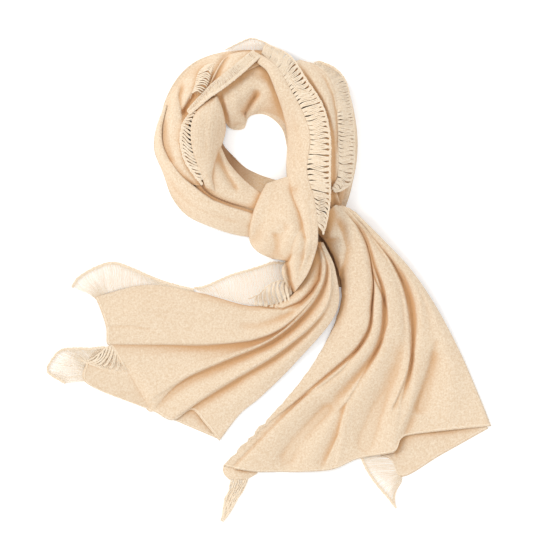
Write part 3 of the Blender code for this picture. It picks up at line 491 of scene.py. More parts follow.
# Creases of each stretch: half width left of the line's run and right of it, height change, then its plan
# points
CREASES = {
    "lapped_left_band": (
        (1.4, 3.5, -2.4, (-121.5, 228.5, -125.5, 244, -128.5, 261.5, -124, 275.5)),
        (4.0, 4.0, 1.4, (-134, 221.5, -135.5, 241.5, -134, 258.5, -130, 275.5)),
        (2.8, 4.0, -8.0, (-123, 234.5, -117, 245.5, -111.5, 255, -104.5, 265.5)),
    ),
    "top_left_fold": (
        (1.4, 4.5, -3.2, (-84.5, 270, -79, 281, -71.5, 298, -63, 312.5, -54.5, 319.5)),
        (3.0, 3.0, 1.0, (-87.5, 284, -80, 301, -71.5, 318)),
    ),
    "ring_top_fold": (
        (1.0, 2.4, -4.2, (-32, 216, -36, 237, -29, 250, -18, 265.5)),
        (3.5, 4.5, -4.5, (-71.5, 264, -66, 248.5, -62, 233, -58, 214.5)),
        (4.0, 4.0, 1.6, (-26.5, 233, -18, 250, -8, 267)),
        (5.0, 2.0, -2.4, (-56, 213, -62, 233, -67.5, 253)),
        (5.0, 5.0, 1.4, (-43.5, 224.5, -47.5, 250, -53, 272.5)),
        (6.0, 6.0, -1.5, (-47.5, 284, -25, 292.5, -2, 284)),
    ),
    "front_strand": (
        (5.0, 1.4, -2.4, (40.5, 7, 47.5, 31, 50.5, 57, 46, 76.5, 37.5, 102, 27.5, 128)),
        (3.0, 3.0, 1.2, (18, 25.5, 26.5, 42.5, 33.5, 57, 39, 71)),
        (2.0, 4.0, -1.0, (47.5, 11.5, 59, 40, 60.5, 71, 56, 113.5)),
        (8.0, 8.0, -3.0, (47.5, 88, 42, 74, 32, 54, 20.5, 31, 12, 14)),
        (5.5, 3.0, -12.0, (23.5, 40, 23.5, 25.5, 25, 14, 27.5, -1.5, 33.5, -22.5)),
    ),
    "lower_inner_band": (
        (4.0, 6.0, -4.6, (-76, 182, -67.5, 164.5, -59, 147.5, -44.5, 125)),
    ),
    "knot_band": (
        (14.0, 7.0, -4.5, (-8, 11.5, 3.5, 34, 13.5, 55.5, 26.5, 82.5)),
        (4.0, 4.0, 1.4, (-5, 31, -8, 42.5, -10.5, 59.5)),
        (6.0, 6.0, 2.4, (10.5, 79.5, 10.5, 62.5, 12, 45.5, 13.5, 14)),
    ),
    "outer_left_band": (
        (2.6, 2.4, -8.0, (-104.5, 133.5, -93, 125, -79, 115, -56, 106.5, -22, 96.5, -5, 93.5)),
        (2.2, 5.0, -1.2, (-42, 79.5, -81.5, 91, -121.5, 112, -147, 147.5)),
        (4.0, 4.0, 0.9, (-47.5, 91, -93, 103.5, -130, 132, -150, 170.5)),
    ),
    "inner_left_band": (
        (4.0, 4.0, -0.8, (-83, 139, -90, 170.5, -91.5, 204.5, -90, 238.5)),
    ),
    "right_strand": (
        (4.0, 1.6, -2.9, (96, 176, 96.5, 204.5, 94.5, 233, 89, 261.5, 79, 284, 69, 295.5)),
        (3.0, 4.5, -4.0, (89, 119.5, 90, 153.5, 90, 184.5, 87.5, 210, 80, 233, 67.5, 258.5, 56, 278.5, 44.5,
                          298)),
        (7.0, 7.0, -5.0, (81.5, 142, 87.5, 128, 90, 113.5, 91.5, 82.5)),
    ),
    "right_under_strand": (
        (2.0, 3.0, -4.0, (90, 108, 94.5, 125, 98.5, 142)),
        (2.0, 2.0, -2.0, (103, 108, 107, 125, 113, 145)),
    ),
}

# The strip that lies pressed under the rest of the ring, where next to no light gets in; it takes the jersey
# with painted shade
DEEPEST = "deep_inner_strip"
# The ripples wander sideways along the cloth: how far, in ripples, over what length, and a start
DRIFT = ((0.35, 41, 0), (0.2, 17, 1))


def steps(values):
    """Running length along the first axis of a grid of points, 0 at its start."""
    legs = np.linalg.norm(np.diff(values, axis=0), axis=-1)
    return np.concatenate([np.zeros((1,) + legs.shape[1:]), np.cumsum(legs, axis=0)])


def unit(vectors):
    """Vectors of the same directions and of length 1."""
    return vectors / np.maximum(np.linalg.norm(vectors, axis=-1, keepdims=True), TINY)


def resampled(values, place, count):
    """Rows of values at count even steps of their running length, and the length at each step."""
    even = np.linspace(0, place[-1], count + 1)
    return np.stack([np.interp(even, place, values[:, k]) for k in range(values.shape[1])], axis=1), even


def edge_drop(distance, radius):
    """Fall of a rolled edge: a quarter circle of that radius, level where it meets the cloth."""
    inside = np.clip(radius - distance, 0, radius)
    return radius - np.sqrt(np.maximum(radius ** 2 - inside ** 2, 0))


def wall(name, top, material, uv, flat_under=False):
    """Cloth wall: the grid of points and the same grid moved WALL down along its normals, joined round."""
    along, across = np.gradient(top, axis=0), np.gradient(top, axis=1)
    normal = np.cross(along, across)
    if normal[..., 2].sum() < 0:
        top, uv, normal = top[:, ::-1], uv[:, ::-1], -normal[:, ::-1]
    bottom = top * (1, 1, 0) if flat_under else top - WALL * unit(normal)
    bottom[..., 2] = np.maximum(bottom[..., 2], 0)
    return shell(name, top, bottom, material, uv)


def even_rows(table, spacing):
    """Rows of a table resampled at even steps of about that spacing along its middle line."""
    fine = curve(table, FINE_STEPS)
    place = steps((fine[:, 0:2] + fine[:, 2:4]) / 2)
    return resampled(fine, place, max(int(place[-1] / spacing), LEAST_ROWS))


ROLL_STEPS = np.array([0, 0.04, 0.14, 0.3, 0.52, 0.76, 1.0])   # points round a rolled edge, in radii
ROLL_LIMIT = 0.4         # a rolled edge takes up no more of the width than this


def across_shares(width, first, second, count):
    """Places across each row from 0 to 1, close together within the radius of both rolled edges, and the
    fall of those edges at each place."""
    first = np.minimum(first, ROLL_LIMIT * width)[:, None]
    second = np.minimum(second, ROLL_LIMIT * width)[:, None]
    middle = first + (width[:, None] - first - second) * np.linspace(0, 1, count)[None, 1:-1]
    places = np.concatenate([first * ROLL_STEPS, middle, width[:, None] - second * ROLL_STEPS[::-1]], axis=1)
    return places / width[:, None], edge_drop(places, first) + edge_drop(width[:, None] - places, second)


def knit_places(share, width, length):
    """Places of a grid in the knit: across as on a strip of its mean width, and its length along it."""
    shape = (len(length), share.shape[-1])
    return np.dstack([np.broadcast_to(share * width.mean(), shape), np.broadcast_to(length[:, None], shape)])


# Height of a stretch: the pile less the layers above it, plus a lift that changes from the middle towards
# each edge by the cube of the share, plus a crown and ripples under a parabola across it, plus its creases,
# less the fall of its rolled edges.
for name, table, level, knot, first, second, crown, ripples, ripple_height in STRETCHES:
    rows, length = even_rows(table, GRID)
    width = np.linalg.norm(rows[:, 2:4] - rows[:, 0:2], axis=1)
    share, drop = across_shares(width, first, second, max(int(width.max() / GRID), LEAST_COLUMNS))
    plan = between(rows, share)
    lift = (rows[:, None, 5] + (rows[:, None, 4] - rows[:, None, 5]) * (1 - share) ** 3
            + (rows[:, None, 6] - rows[:, None, 5]) * share ** 3)
    height = relief(plan[..., 0], plan[..., 1], knot) - level * LAYER + lift
    if rows.shape[1] > 7:
        least = np.maximum(rows[:, 7:8], 0)
        height = blended(np.maximum(height, 0), least)
    if name in SUNK_ENDS:
        start_depth, start_reach, end_depth, end_reach = SUNK_ENDS[name]
        from_end = length[-1] - length[:, None]
        height = height - start_depth * bell(length[:, None], start_reach)
        height -= end_depth * bell(from_end, end_reach)
    height -= drop
    bulge = 1 - (2 * share - 1) ** 2
    drift = sum(reach * np.sin(length / span + begin) for reach, span, begin in DRIFT)
    height += bulge * (crown + ripple_height * np.sin(2 * np.pi * (ripples * share + drift[:, None])))
    for row in CREASES.get(name, ()):
        height += crease(plan[..., 0], plan[..., 1], *row)
    top = np.dstack([plan, np.maximum(height, WALL + REST_GAP)])
    cloth = pressed_shaded_knit if name == DEEPEST else knit
    made = wall(name + "_cloth", top, cloth, knit_places(share, width, length))
    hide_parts(name)

# ---------------------------------------------------------------- tails
# Both tails fan out of the knot to the full folded width of 35 cm.  Pleats start close together at the knot
# and open towards the cast-off ends, which have a raised, paler last row.
# Spine of a tail: height of what lies under the cloth, share of the crest height, which crest height counts
LEFT_TAIL_SPINE = (
    (30, 0.1, 0),
    (23, 0.5, 0),
    (15, 0.9, 0.2),
    (7.5, 1.0, 1),
    (4.8, 1.0, 1.5),
    (4.0, 0.9, 2),
    (3.6, 0.6, 2),
)
# Fold lines.  Columns: foot height, crest height near the knot, halfway and at the hem, then x, y at each
# station of the spine.  The last line of the left tail and the first of the right face each other: where the
# two leave the knot they nearly touch.
LEFT_TAIL_LINES = (
    (-2.2, 0, 0, 0, 54.5, 52.5, 50.5, 11.5, 26.5, -25.5, -25, -37, -98.5, -18.5, -174, -7, -248, -24),
    (-2, 6, 5, 5, 59.5, 53, 62.5, 13, 39, -27, -18, -48.5, -91.5, -40, -168.5, -31, -239.5, -44),
    (-1, 0.5, 5, 7, 63, 54, 71, 13.5, 49.5, -28.5, -9, -62.5, -84.5, -64, -161, -59.5, -232, -68),
    (-1, 9, 9, 5, 65.5, 54, 75.5, 14, 56, -30.5, -0.5, -74.5, -80, -88, -154, -89, -231, -89.5),
    (0, 8.5, 3, 0.5, 66.5, 54, 76.5, 14, 57.5, -31, 1.5, -79, -79, -94.5, -151, -95, -223.5, -96.5),
    (0, 8.5, 4, 1.5, 67.5, 54, 77.5, 14, 58.5, -32, 3.5, -81, -73, -106.5, -142.5, -113.5, -209.5, -122),
    (0, 9, 9, 5, 68.5, 54, 78.5, 14, 59.5, -32.5, 5, -82.5, -69, -114.5, -127, -140, -177, -181),
    (0, 0.5, 0.5, 0.5, 69.5, 54, 81.5, 14, 63.5, -35, 9, -86.5, -65.5, -120.5, -121.5, -147, -162.5, -187.5),
    (0, 8, 9, 6, 71, 54, 86, 13.5, 76, -41, 18, -96, -50.5, -137.5, -94.5, -164.5, -138.5, -199),
    (0, 5, 1, 0.5, 72, 54, 87.5, 13.5, 79, -44, 21.5, -101.5, -46, -144, -89, -171, -111.5, -184.5),
    (0, 3, 4, 3, 73, 53.5, 89, 13, 84.5, -46, 29, -109.5, -29, -156, -66, -183, -91.5, -204.5),
    (0, 0, 0, 0, 76, 53, 93.5, 12, 94, -47, 37.5, -116.5, -12, -165.5, -42, -190.5, -71.5, -228.5),
)
# Lower layers, flat on the table: x, y at each station from the knot to the hem.  The left one runs on under
# the lattice of its own open band, the right one out to the upper layer's tip.
FLAT_SPINE = ((WALL, 0, 0),) * 5
LEFT_UNDER_LINES = (
    (71.5, -45.5, -10.5, -95, -113, -122, -231, -97.5, -260.5, -115.5),
    (73, -45.5, -5, -102, -84.5, -139, -165.5, -152, -259, -147.5),
    (76, -47, 20.5, -116.5, -44.5, -160.5, -104.5, -186, -167, -186),
    (80, -48.5, 47.5, -101, 0.5, -147.5, -39, -184.5, -73, -226),
)
RIGHT_TAIL_SPINE = (
    (27, 0.1, 0),
    (19, 0.5, 0),
    (14, 0.8, 0.2),
    (10, 1.0, 1),
    (5.5, 1.0, 1.2),
    (4.0, 0.9, 1.8),
    (3.6, 0.6, 2),
)
RIGHT_TAIL_LINES = (
    (-2, 0, 0, 0, 46, 62.5, 70.5, 63, 93.5, 22.5, 101.5, -27, 79, -89.5, 30.5, -160.5, -66, -264),
    (-1, 9, 9, 0.5, 87.5, 102, 106, 62.5, 114.5, 21.5, 120, -28.5, 101.5, -89.5, 34, -164, -62, -265.5),
    (0, 9, 9, 0.5, 97.5, 105, 127, 65.5, 140, 21.5, 142, -28.5, 124, -89.5, 38.5, -168.5, -57.5, -266.5),
    (0, 1, 1, 0.5, 99.5, 105, 130.5, 66, 143.5, 21.5, 145.5, -28.5, 130, -91, 42, -171, -53, -267.5),
    (0, 1, 8, 8, 100.5, 105, 132, 66, 145.5, 21.5, 149, -29, 135, -93, 46, -174.5, -44.5, -269),
    (0, 1, 8, 7, 101.5, 105, 133, 66, 147, 21.5, 157, -30, 142.5, -98, 62, -182, -18, -272.5),
    (0, 1, 0.5, 1, 102.5, 105, 134, 66, 148.5, 21.5, 162.5, -31, 152, -99.5, 81.5, -186, 16.5, -272.5),
    (0, 8, 8, 7, 104, 104.5, 137, 65.5, 154, 21.5, 168.5, -32, 158.5, -100, 101.5, -186, 44.5, -272.5),
    (0, 8, 8, 6, 106, 104, 139, 65, 162.5, 22, 179.5, -31, 175.5, -102, 123, -184.5, 89, -269),
    (0, 8, 7, 1.5, 107, 103.5, 140.5, 64.5, 168.5, 22.5, 187.5, -30, 188, -103.5, 154, -184.5, 125.5, -254),
    (0, 9, 9, 8, 108.5, 103, 142, 64, 172, 23.5, 192.5, -28.5, 198, -105, 181, -177.5, 168.5, -246.5),
    (0, 1, 0.5, 9, 110.5, 102, 144.5, 63.5, 176, 22.5, 198, -29, 203, -105, 188, -177, 179.5, -241.5),
    (0, 6, 7, 9, 113, 101, 149, 62, 184, 21.5, 211, -30.5, 208.5, -104.5, 201, -176, 185.5, -227),
    (0, 6, 5, 2, 116, 99, 152.5, 61, 189, 20, 219.5, -31, 231, -102, 218, -173, 201, -220),
    (0, 3, 5, 4, 119.5, 97, 156, 60, 194, 18.5, 226.5, -32.5, 252, -100, 257.5, -169, 253.5, -213.5),
    (0, 0, 0, 0, 123, 94.5, 160, 58, 199, 16.5, 234.5, -35, 269, -99.5, 298, -166, 314.5, -207.5),
)
RIGHT_UNDER_LINES = (
    (117, -14, 97.5, -78, 69, -139, 29, -191.5, -8, -250),
    (137, -17, 128.5, -85, 111.5, -149, 91.5, -206, 80, -244),
    (168.5, -20, 168.5, -88, 157, -153.5, 148.5, -210, 165.5, -251.5),
    (179.5, -20, 188, -88, 185.5, -153.5, 182.5, -213, 188, -279.5),
    (191, -20, 211, -88, 219.5, -150.5, 231, -204.5, 243.5, -248.5),
    (205, -20, 242, -82.5, 267.5, -130.5, 287.5, -173, 310.5, -211),
)
HEM_RIDGE = 0.35         # height of the cast-off row
HEM_PLACE = 3.0          # its distance from the end
HEM_WIDTH = 1.5

# Finer folds of the tails, each from the end up to the knot: half width on its left and right, height change,
# then its plan points.  A lapped pleat is steep on the side that lies over the other.
TAIL_CREASES = {
    "left_tail": (
        (1.2, 7, -2.3, (-269, -92.5, -218, -92.5, -155.5, -92.5, -98.5, -92.5, -63, -91.5, -27.5, -88, 0.5,
                        -78, 32, -62.5)),
        (1.2, 8, -1.9, (-184, -184.5, -167, -172, -141.5, -154, -113, -137.5, -84.5, -124, -56, -113, -27.5,
                        -101, 0.5, -88, 29, -68, 57.5, -41)),
        (1.2, 7, -1.8, (-155.5, -213, -138.5, -200, -113, -182.5, -84.5, -162, -56, -145, -27.5, -128, 0.5,
                        -112, 29, -92.5, 53, -74.5, 71.5, -54, 83, -32.5)),
        (5, 10, -1.5, (-269, -101, -198, -101, -127, -99.5, -56, -97.5, -10.5, -89.5, 32, -71)),
        (5, 8, -1.3, (-184, -189, -155.5, -172, -127, -153.5, -91.5, -136.5, -56, -122, -19, -105)),
        (5, 7, -1.2, (-152.5, -214.5, -127, -196, -98.5, -177.5, -67.5, -159, -33.5, -139)),
        (1.6, 3, -1.2, (-232, -66.5, -209.5, -65.5, -189.5, -66.5, -164, -71)),
        (8, 8, 1.0, (-212.5, -45.5, -155.5, -37, -91.5, -41, -35, -54)),
        (1.5, 1.5, -3.5, (-10.5, -38.5, 19, -41, 44.5, -31, 60.5, -15.5, 70.5, 0, 72.5, 25.5)),
        (3, 3, 1.2, (-10.5, -44, 20.5, -47, 47.5, -37, 64.5, -20, 74.5, -1.5, 76, 25.5)),
        (5, 10, -1.4, (-47.5, -65.5, -16.5, -64, 12, -57, 37.5, -44)),
        (1.5, 1.5, -1.2, (81.5, 25.5, 79, -3, 69, -24, 57.5, -40, 43.5, -55.5, 29, -66.5)),
    ),
    "right_tail": (
        (1.5, 4, -2.4, (123, 82.5, 137, 49.5, 144, 11.5, 145.5, -28.5, 141.5, -57)),
        (4, 1.3, -2.4, (137, -71, 124, -99.5, 104.5, -127, 79, -147.5, 50.5, -164.5, 26.5, -182, 3.5, -200,
                        -25, -227, -37.5, -237)),
        (1.3, 1.3, -3.0, (144, 14, 152.5, -5.5, 161, -24, 165.5, -40, 167, -59.5, 162.5, -76.5)),
        (7, 1.5, -2.6, (162.5, -79.5, 152.5, -99.5, 137, -128, 124, -150.5, 113, -169, 96, -190.5)),
        (1.2, 8, -3.6, (124, 81, 142.5, 63, 172.5, 27, 186.5, 0, 194, -25.5, 198, -54, 199.5, -85, 199.5,
                        -108)),
        (9, 1.3, -3.6, (202.5, -102, 198, -125, 192.5, -142, 185.5, -159, 179.5, -173, 172.5, -187.5)),
        (17, 13, -5.2, (131.5, -250, 140, -227, 151, -191.5, 165.5, -156, 178, -119.5, 185.5, -79.5)),
        (12, 1.5, -4.6, (71.5, -272.5, 87.5, -238.5, 96, -220, 101.5, -196, 108.5, -173)),
        (5, 5, 1.2, (96, -267, 101.5, -235.5, 107, -207.5, 117, -182)),
        (14, 11, -4.2, (18, -264, 33.5, -227, 60.5, -199, 89, -174.5)),
        (4, 9, -2.6, (179.5, -235.5, 188, -218.5, 196.5, -201.5, 205, -182, 216.5, -156, 228, -122, 238,
                      -79.5)),
        (12, 14, -3.4, (211, -193, 219.5, -170.5, 231, -139, 239.5, -99.5)),
        (11, 11, 1.0, (253.5, -206, 259, -163.5, 262, -116.5)),
        (6, 8, -4.0, (179.5, 31, 192.5, -4.5, 202.5, -35.5, 206.5, -64, 204, -92.5, 195, -130.5)),
        (12, 9, 7.0, (74.5, 116.5, 81.5, 93.5, 86, 57)),
        (11, 3, -4.0, (94.5, 88, 104.5, 68, 110, 45.5, 107, 25.5, 98.5, 0, 96, -17)),
    ),
}

# Here the left tail's end is pressed flat into the layer below.  A row as in the creases, but with its bell
# cut off at 1, so that the middle of the strip is pressed all the way; then the height of its surface there
PRESSED_HEM = (11.0, 11.0, 1.2, (-212.5, -119.5, -202.5, -139, -191, -159, -177, -183, -171, -194.5))
PRESSED_HEIGHT = 0.5
# The loose selvage of the right tail goes in and out: its sines (share, length, start), where along the tail
# they are greatest and how far round that, what is left elsewhere, and how far they reach into the cloth
CURL_WAVES = ((1, 3.1, 0), (0.7, 1.9, 1), (0.9, 5.3, 2))
CURL_PLACE, CURL_SPREAD, CURL_REST, CURL_REACH = 0.86, 0.09, 0.2, 8
CURL_RISE, CURL_RISE_LENGTH, CURL_RISE_START = 0.8, 2.1, 3
CURL_COLUMN = 6          # the selvage is pushed towards this column of points


def fan_sheet(lines, spine, steps_along, steps_across):
    """Pleated tail: a smooth surface through fold lines, each at its foot height plus what lies under it
    plus its crest's share at that station; the crest changes from the knot by halfway to the hem."""
    lines = np.asarray(lines, float)
    spine = np.asarray(spine, float)
    plan = lines[:, 4:].reshape(len(lines), len(spine), 2)
    crest = np.array([np.interp(spine[:, 2], (0, 1, 2), line) for line in lines[:, 1:4]])
    control = np.dstack([plan, lines[:, :1] + spine[:, 0] + crest * spine[:, 1]])
    along = curve(np.swapaxes(control, 0, 1), steps_along)
    return np.swapaxes(curve(np.swapaxes(along, 0, 1), steps_across), 0, 1)


def tubes(paths, radius, sides):
    """Round threads along many paths at once: at each point a ring of that radius square to the path."""
    paths = np.asarray(paths, float)
    radius = np.broadcast_to(np.asarray(radius, float), paths.shape[:2])[..., None]
    ahead = unit(np.gradient(paths, axis=1))
    side = unit(np.cross(ahead, (0, 0, 1)))
    over = np.cross(side, ahead)
    turn = np.linspace(0, 2 * np.pi, sides, endpoint=False)
    points = (paths[:, :, None] + radius[:, :, None] * (side[:, :, None] * np.cos(turn)[:, None]
                                                        + over[:, :, None] * np.sin(turn)[:, None]))
    count, long = paths.shape[:2]
    index = np.arange(count * long * sides).reshape(count, long, sides)
    after = np.roll(index, -1, axis=2)
    quads = np.stack([index[:, :-1], index[:, 1:], after[:, 1:], after[:, :-1]], axis=-1).reshape(-1, 4)
    caps = np.concatenate([index[:, 0], index[:, -1, ::-1]])
    return points.reshape(-1, 3), quads.tolist() + caps.tolist()


def even_line(line, spacing):
    """A line of points resampled at even steps."""
    place = steps(line)
    return resampled(line, place, max(int(place[-1] / spacing), LEAST_POINTS))


CHAIN_STEP = 1.0         # spacing of the points along a cord
CHAIN_TURN = 4.0         # length of one knitted loop
CHAIN_SPACING, CHAIN_SWING = 1.5, 0.4   # strands' spacing and swing, in radii


def chain_lines(line, radius, strands):
    """Lines of a knitted cord: strands side by side that swing across each other once a loop."""
    line, place = even_line(line, CHAIN_STEP)
    ahead = np.gradient(line, axis=0)
    side = unit(np.stack([-ahead[:, 1], ahead[:, 0]], axis=1))
    lines = []
    for k in range(strands):
        phase = 2 * np.pi * (place / CHAIN_TURN + k / strands)
        off = (k - (strands - 1) / 2) * CHAIN_SPACING * radius + CHAIN_SWING * radius * np.sin(phase)
        rise = CHAIN_SWING * radius * np.cos(phase)
        lines.append(np.column_stack([line[:, :2] + side * off[:, None], line[:, 2] + rise]))
    return np.array(lines)


# The cast-off row and the loose threads are the same yarn without its knitted shade, so they look paler.
yarn = cashmere("loose_cashmere_thread", "#F5E9D6", "#ECDAC0", "#CDA880", painted_shade="#C79A6A", grain=0.2)
trims = {}
ROW_THREAD = 0.4         # radius of the cast-off row's threads
ROUND_SIDES = 6          # sides of the section of a cord's strand


def chain(name, line, owner):
    """Cast-off row along the end of a tail: a fine chain of two strands."""
    made = piece(name, *tubes(chain_lines(line, ROW_THREAD, 2), ROW_THREAD, ROUND_SIDES), yarn)
    trims.setdefault(owner.name.removesuffix("_cloth"), []).append(made)


def tail(name, lines, spine, steps_along, steps_across, edge, under=False, curl=0):
    """Tail with its own creases, a cast-off ridge near its end and edges of that radius that settle on what
    is below.  Its first selvage is pushed in and out by curl millimetres: the sum of the curl's sines of the
    place along it, times a bell round the curl's place, fading as a bell of the distance into the cloth."""
    top = fan_sheet(lines, spine, steps_along, steps_across)
    if curl:
        along = steps(top)[:, :1]
        inward = unit(top[:, CURL_COLUMN, :2] - top[:, 0, :2])
        wave = sum(share * np.sin(along / span + begin) for share, span, begin in CURL_WAVES)
        grown = CURL_REST + bell(along / along[-1] - CURL_PLACE, CURL_SPREAD)
        faded = bell(steps(np.swapaxes(top, 0, 1)).T, CURL_REACH)
        top[..., :2] += (curl * wave * grown * faded)[..., None] * inward[:, None]
        top[..., 2] += CURL_RISE * curl * np.sin(along / CURL_RISE_LENGTH + CURL_RISE_START) * grown * faded
    x, y = top[..., 0], top[..., 1]
    for row in TAIL_CREASES.get(name, ()):
        top[..., 2] += crease(x, y, *row)
    from_end = steps(top[::-1])[::-1]
    from_side = steps(np.swapaxes(top, 0, 1)).T
    side = np.minimum(from_side, from_side[:, -1:] - from_side)
    top[..., 2] -= edge_drop(np.minimum(from_end, side), edge)
    top[..., 2] += HEM_RIDGE * bell(from_end - HEM_PLACE, HEM_WIDTH)
    top[..., 2] = np.maximum(top[..., 2], WALL if under else 2 * WALL + REST_GAP)
    if name == "left_tail":
        hold = np.minimum(crease(x, y, *PRESSED_HEM), 1)
        top[..., 2] += hold * (PRESSED_HEIGHT - top[..., 2])
    share = np.linspace(0, 1, top.shape[1])
    widest = from_side[:, -1].max()
    uv = np.dstack([np.broadcast_to(share * widest, top.shape[:2]), steps(top)])
    made = wall(name + "_cloth", top, knit, uv, under)
    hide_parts(name)
    last = np.argmax(from_end < HEM_PLACE, axis=0)
    column = np.arange(top.shape[1])
    share = ((HEM_PLACE - from_end[last, column])
             / (from_end[last - 1, column] - from_end[last, column]))[:, None]
    line = top[last, column] * (1 - share) + top[last - 1, column] * share
    chain(name + "_hem", line, made)


EDGE_RADIUS, FLAT_EDGE_RADIUS = 0.9, 0.5
tail("left_tail", LEFT_TAIL_LINES, LEFT_TAIL_SPINE, steps_along=210, steps_across=220, edge=EDGE_RADIUS)
tail("right_tail", RIGHT_TAIL_LINES, RIGHT_TAIL_SPINE, steps_along=200, steps_across=240, edge=EDGE_RADIUS,
     curl=1.1)
for name, lines, steps_across in (("left_tail_under", LEFT_UNDER_LINES, 70),
                                  ("right_tail_under", RIGHT_UNDER_LINES, 110)):
    flat_lines = np.pad(np.array(lines, float), ((0, 0), (4, 0)))   # foot and crest heights of 0
    tail(name, flat_lines, FLAT_SPINE, steps_along=110, steps_across=steps_across, edge=FLAT_EDGE_RADIUS,
         under=True)

# ---------------------------------------------------------------- turned corner
# At its lower left the right tail's corner is turned over, and the threads of its open band hang together
# there as a loose bundle that narrows to a point.
# Columns: left edge x, y, right edge x, y, crest
TURNED_CORNER = (
    (-65.5, -264, -16.5, -271, 1.2),
    (-66.5, -270, -18, -275, 3.2),
    (-64, -277, -23.5, -278.5, 3.2),
    (-57.5, -283.5, -32, -283.5, 1.6),
)
# Columns: left side x, y, right side x, y of the bundle
BUNDLE = (
    (-56, -279.5, -27.5, -277),
    (-57.5, -295.5, -33.5, -292.5),
    (-64.5, -311, -43.5, -309.5),
    (-66, -322.5, -52, -324),
    (-67.5, -332.5, -57.5, -332.5),
    (-69.5, -342, -66, -343.5),
)
FLOOR_GAP = 0.1          # least clearance of a thread over the table top
BUNDLE_STEP = 1.5        # spacing of the points along its threads
BUNDLE_SEED = 7
BUNDLE_THREADS = 30
BUNDLE_THREAD = 0.7      # radius of a thread
THREAD_SIDES = 5         # sides of the section of a loose thread
BUNDLE_INSET = 0.04      # the outer threads run this share of the width inside its sides
BUNDLE_WAVES = (34, 19)  # lengths of the threads' sideways waves, and the range of their height
BUNDLE_WAVE_HEIGHT = (0.01, 0.03)
BUNDLE_RISE, BUNDLE_SWELL, BUNDLE_SWELL_LENGTH = 1.5, 0.7, 9   # mean height, its waves' height and length
ANY_START = (0, 6.3)     # start of a wave, anywhere in a full turn
CORNER_COLUMNS = 33      # points across the turned corner, closer together at its sides

corner_rows, corner_length = even_rows(TURNED_CORNER, GRID / 2)
corner_share = 0.5 - 0.5 * np.cos(np.linspace(0, np.pi, CORNER_COLUMNS))
corner_plan = between(corner_rows, corner_share[None])
corner_height = WALL + corner_rows[:, 4:5] * np.sqrt(np.maximum(1 - (2 * corner_share - 1) ** 2, 0))
corner_top = np.dstack([corner_plan, corner_height])
corner_width = np.linalg.norm(corner_rows[:, 2:4] - corner_rows[:, 0:2], axis=1)
corner_uv = knit_places(corner_share, corner_width, corner_length)
corner = wall("corner_end_cloth", corner_top, knit, corner_uv, flat_under=True)
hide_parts("corner_end")

bundle_rows, bundle_length = even_rows(BUNDLE, BUNDLE_STEP)
generator = np.random.default_rng(BUNDLE_SEED)
bundle_side = np.linspace(BUNDLE_INSET, 1 - BUNDLE_INSET, BUNDLE_THREADS)[:, None]
bundle_wave = 0
for wave in BUNDLE_WAVES:
    swing = generator.uniform(*BUNDLE_WAVE_HEIGHT, (BUNDLE_THREADS, 1))
    begin = generator.uniform(*ANY_START, (BUNDLE_THREADS, 1))
    bundle_wave = bundle_wave + swing * np.sin(bundle_length * 2 * np.pi / wave + begin)
bundle_share = np.clip(bundle_side + bundle_wave, 0, 1)[..., None]
bundle_plan = bundle_rows[:, 0:2] + (bundle_rows[:, 2:4] - bundle_rows[:, 0:2]) * bundle_share
bundle_start = generator.uniform(*ANY_START, (BUNDLE_THREADS, 1))
bundle_rise = BUNDLE_RISE + BUNDLE_SWELL * np.sin(bundle_length / BUNDLE_SWELL_LENGTH + bundle_start)
bundle_height = np.maximum(bundle_rise, BUNDLE_THREAD + FLOOR_GAP)
bundle_paths = np.concatenate([bundle_plan, bundle_height[..., None]], axis=2)
bundle = piece("corner_threads", *tubes(bundle_paths, BUNDLE_THREAD, THREAD_SIDES), yarn)
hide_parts("corner_end")
trims["corner_end"] = [bundle]

# ---------------------------------------------------------------- open bands
# Along both selvages every stitch of the last 3 cm was dropped, which leaves a ladder of loose threads
# between the knitted cloth and a narrow cord of two stitches.  The threads pair up, wave and bunch.
# Columns: base x, y, cord x, y, lift at the base, lift at the cord.  The arc band rises from under the fold
# beside it, the lapped band narrows to its end, and the lower end of the right band curls back under the
# ring.
FRONT_OPEN_BAND = (
    (-6.5, 321, 0.5, 333.5, -5, -7),
    (13.5, 301, 29, 318, 0, -3),
    (30.5, 270, 52, 284, 0, -1),
    (49, 237, 76, 245.5, 0, -1),
    (59, 201.5, 86, 201.5, 0, -1),
    (54.5, 153.5, 86, 153.5, 0, -1),
    (64.5, 115, 86, 115, 0, -1),
    (69, 85, 81.5, 84, 0, -2),
    (70.5, 66.5, 76, 64, 0, -3),
)
TOP_OPEN_BAND = (
    (-9, 328, -6.5, 338, -3, -4),
    (-23.5, 328.5, -25, 343.5, -3, -4),
    (-39, 328, -40.5, 338.5, -3, -4),
    (-54.5, 325, -57.5, 330, -3, -4),
)
ARC_OPEN_BAND = (
    (-80, 306.5, -91.5, 304, -4, -4),
    (-84.5, 292.5, -101, 292.5, 0, 0),
    (-90, 274, -106, 274, 0, 0),
    (-100, 257, -112, 258.5, 0, 0),
)
LAPPED_OPEN_BAND = (
    (-35, 313, -25, 304, 0, 0),
    (-47.5, 302.5, -37.5, 292.5, 0, 0),
    (-63, 289.5, -53, 279.5, 0, 0),
    (-79, 277, -69, 267.5, 0, 0),
    (-91.5, 263.5, -85, 256.5, 0, 0),
    (-103, 252, -98, 245.5, 0, 0),
    (-115.5, 237, -113, 233.5, -2, -1),
)
INNER_LEFT_OPEN_BAND = (
    (-107, 235.5, -117, 230, 0, 0),
    (-113, 221.5, -124, 218.5, 0, 0),
    (-114.5, 199, -127, 199, 0, 0),
    (-110, 179, -124, 179, 0, 0),
    (-105, 164.5, -118, 163.5, 0, 0),
    (-98, 149, -106.5, 146.5, 0, -1),
    (-93, 136.5, -96, 133.5, -3, -3),
)
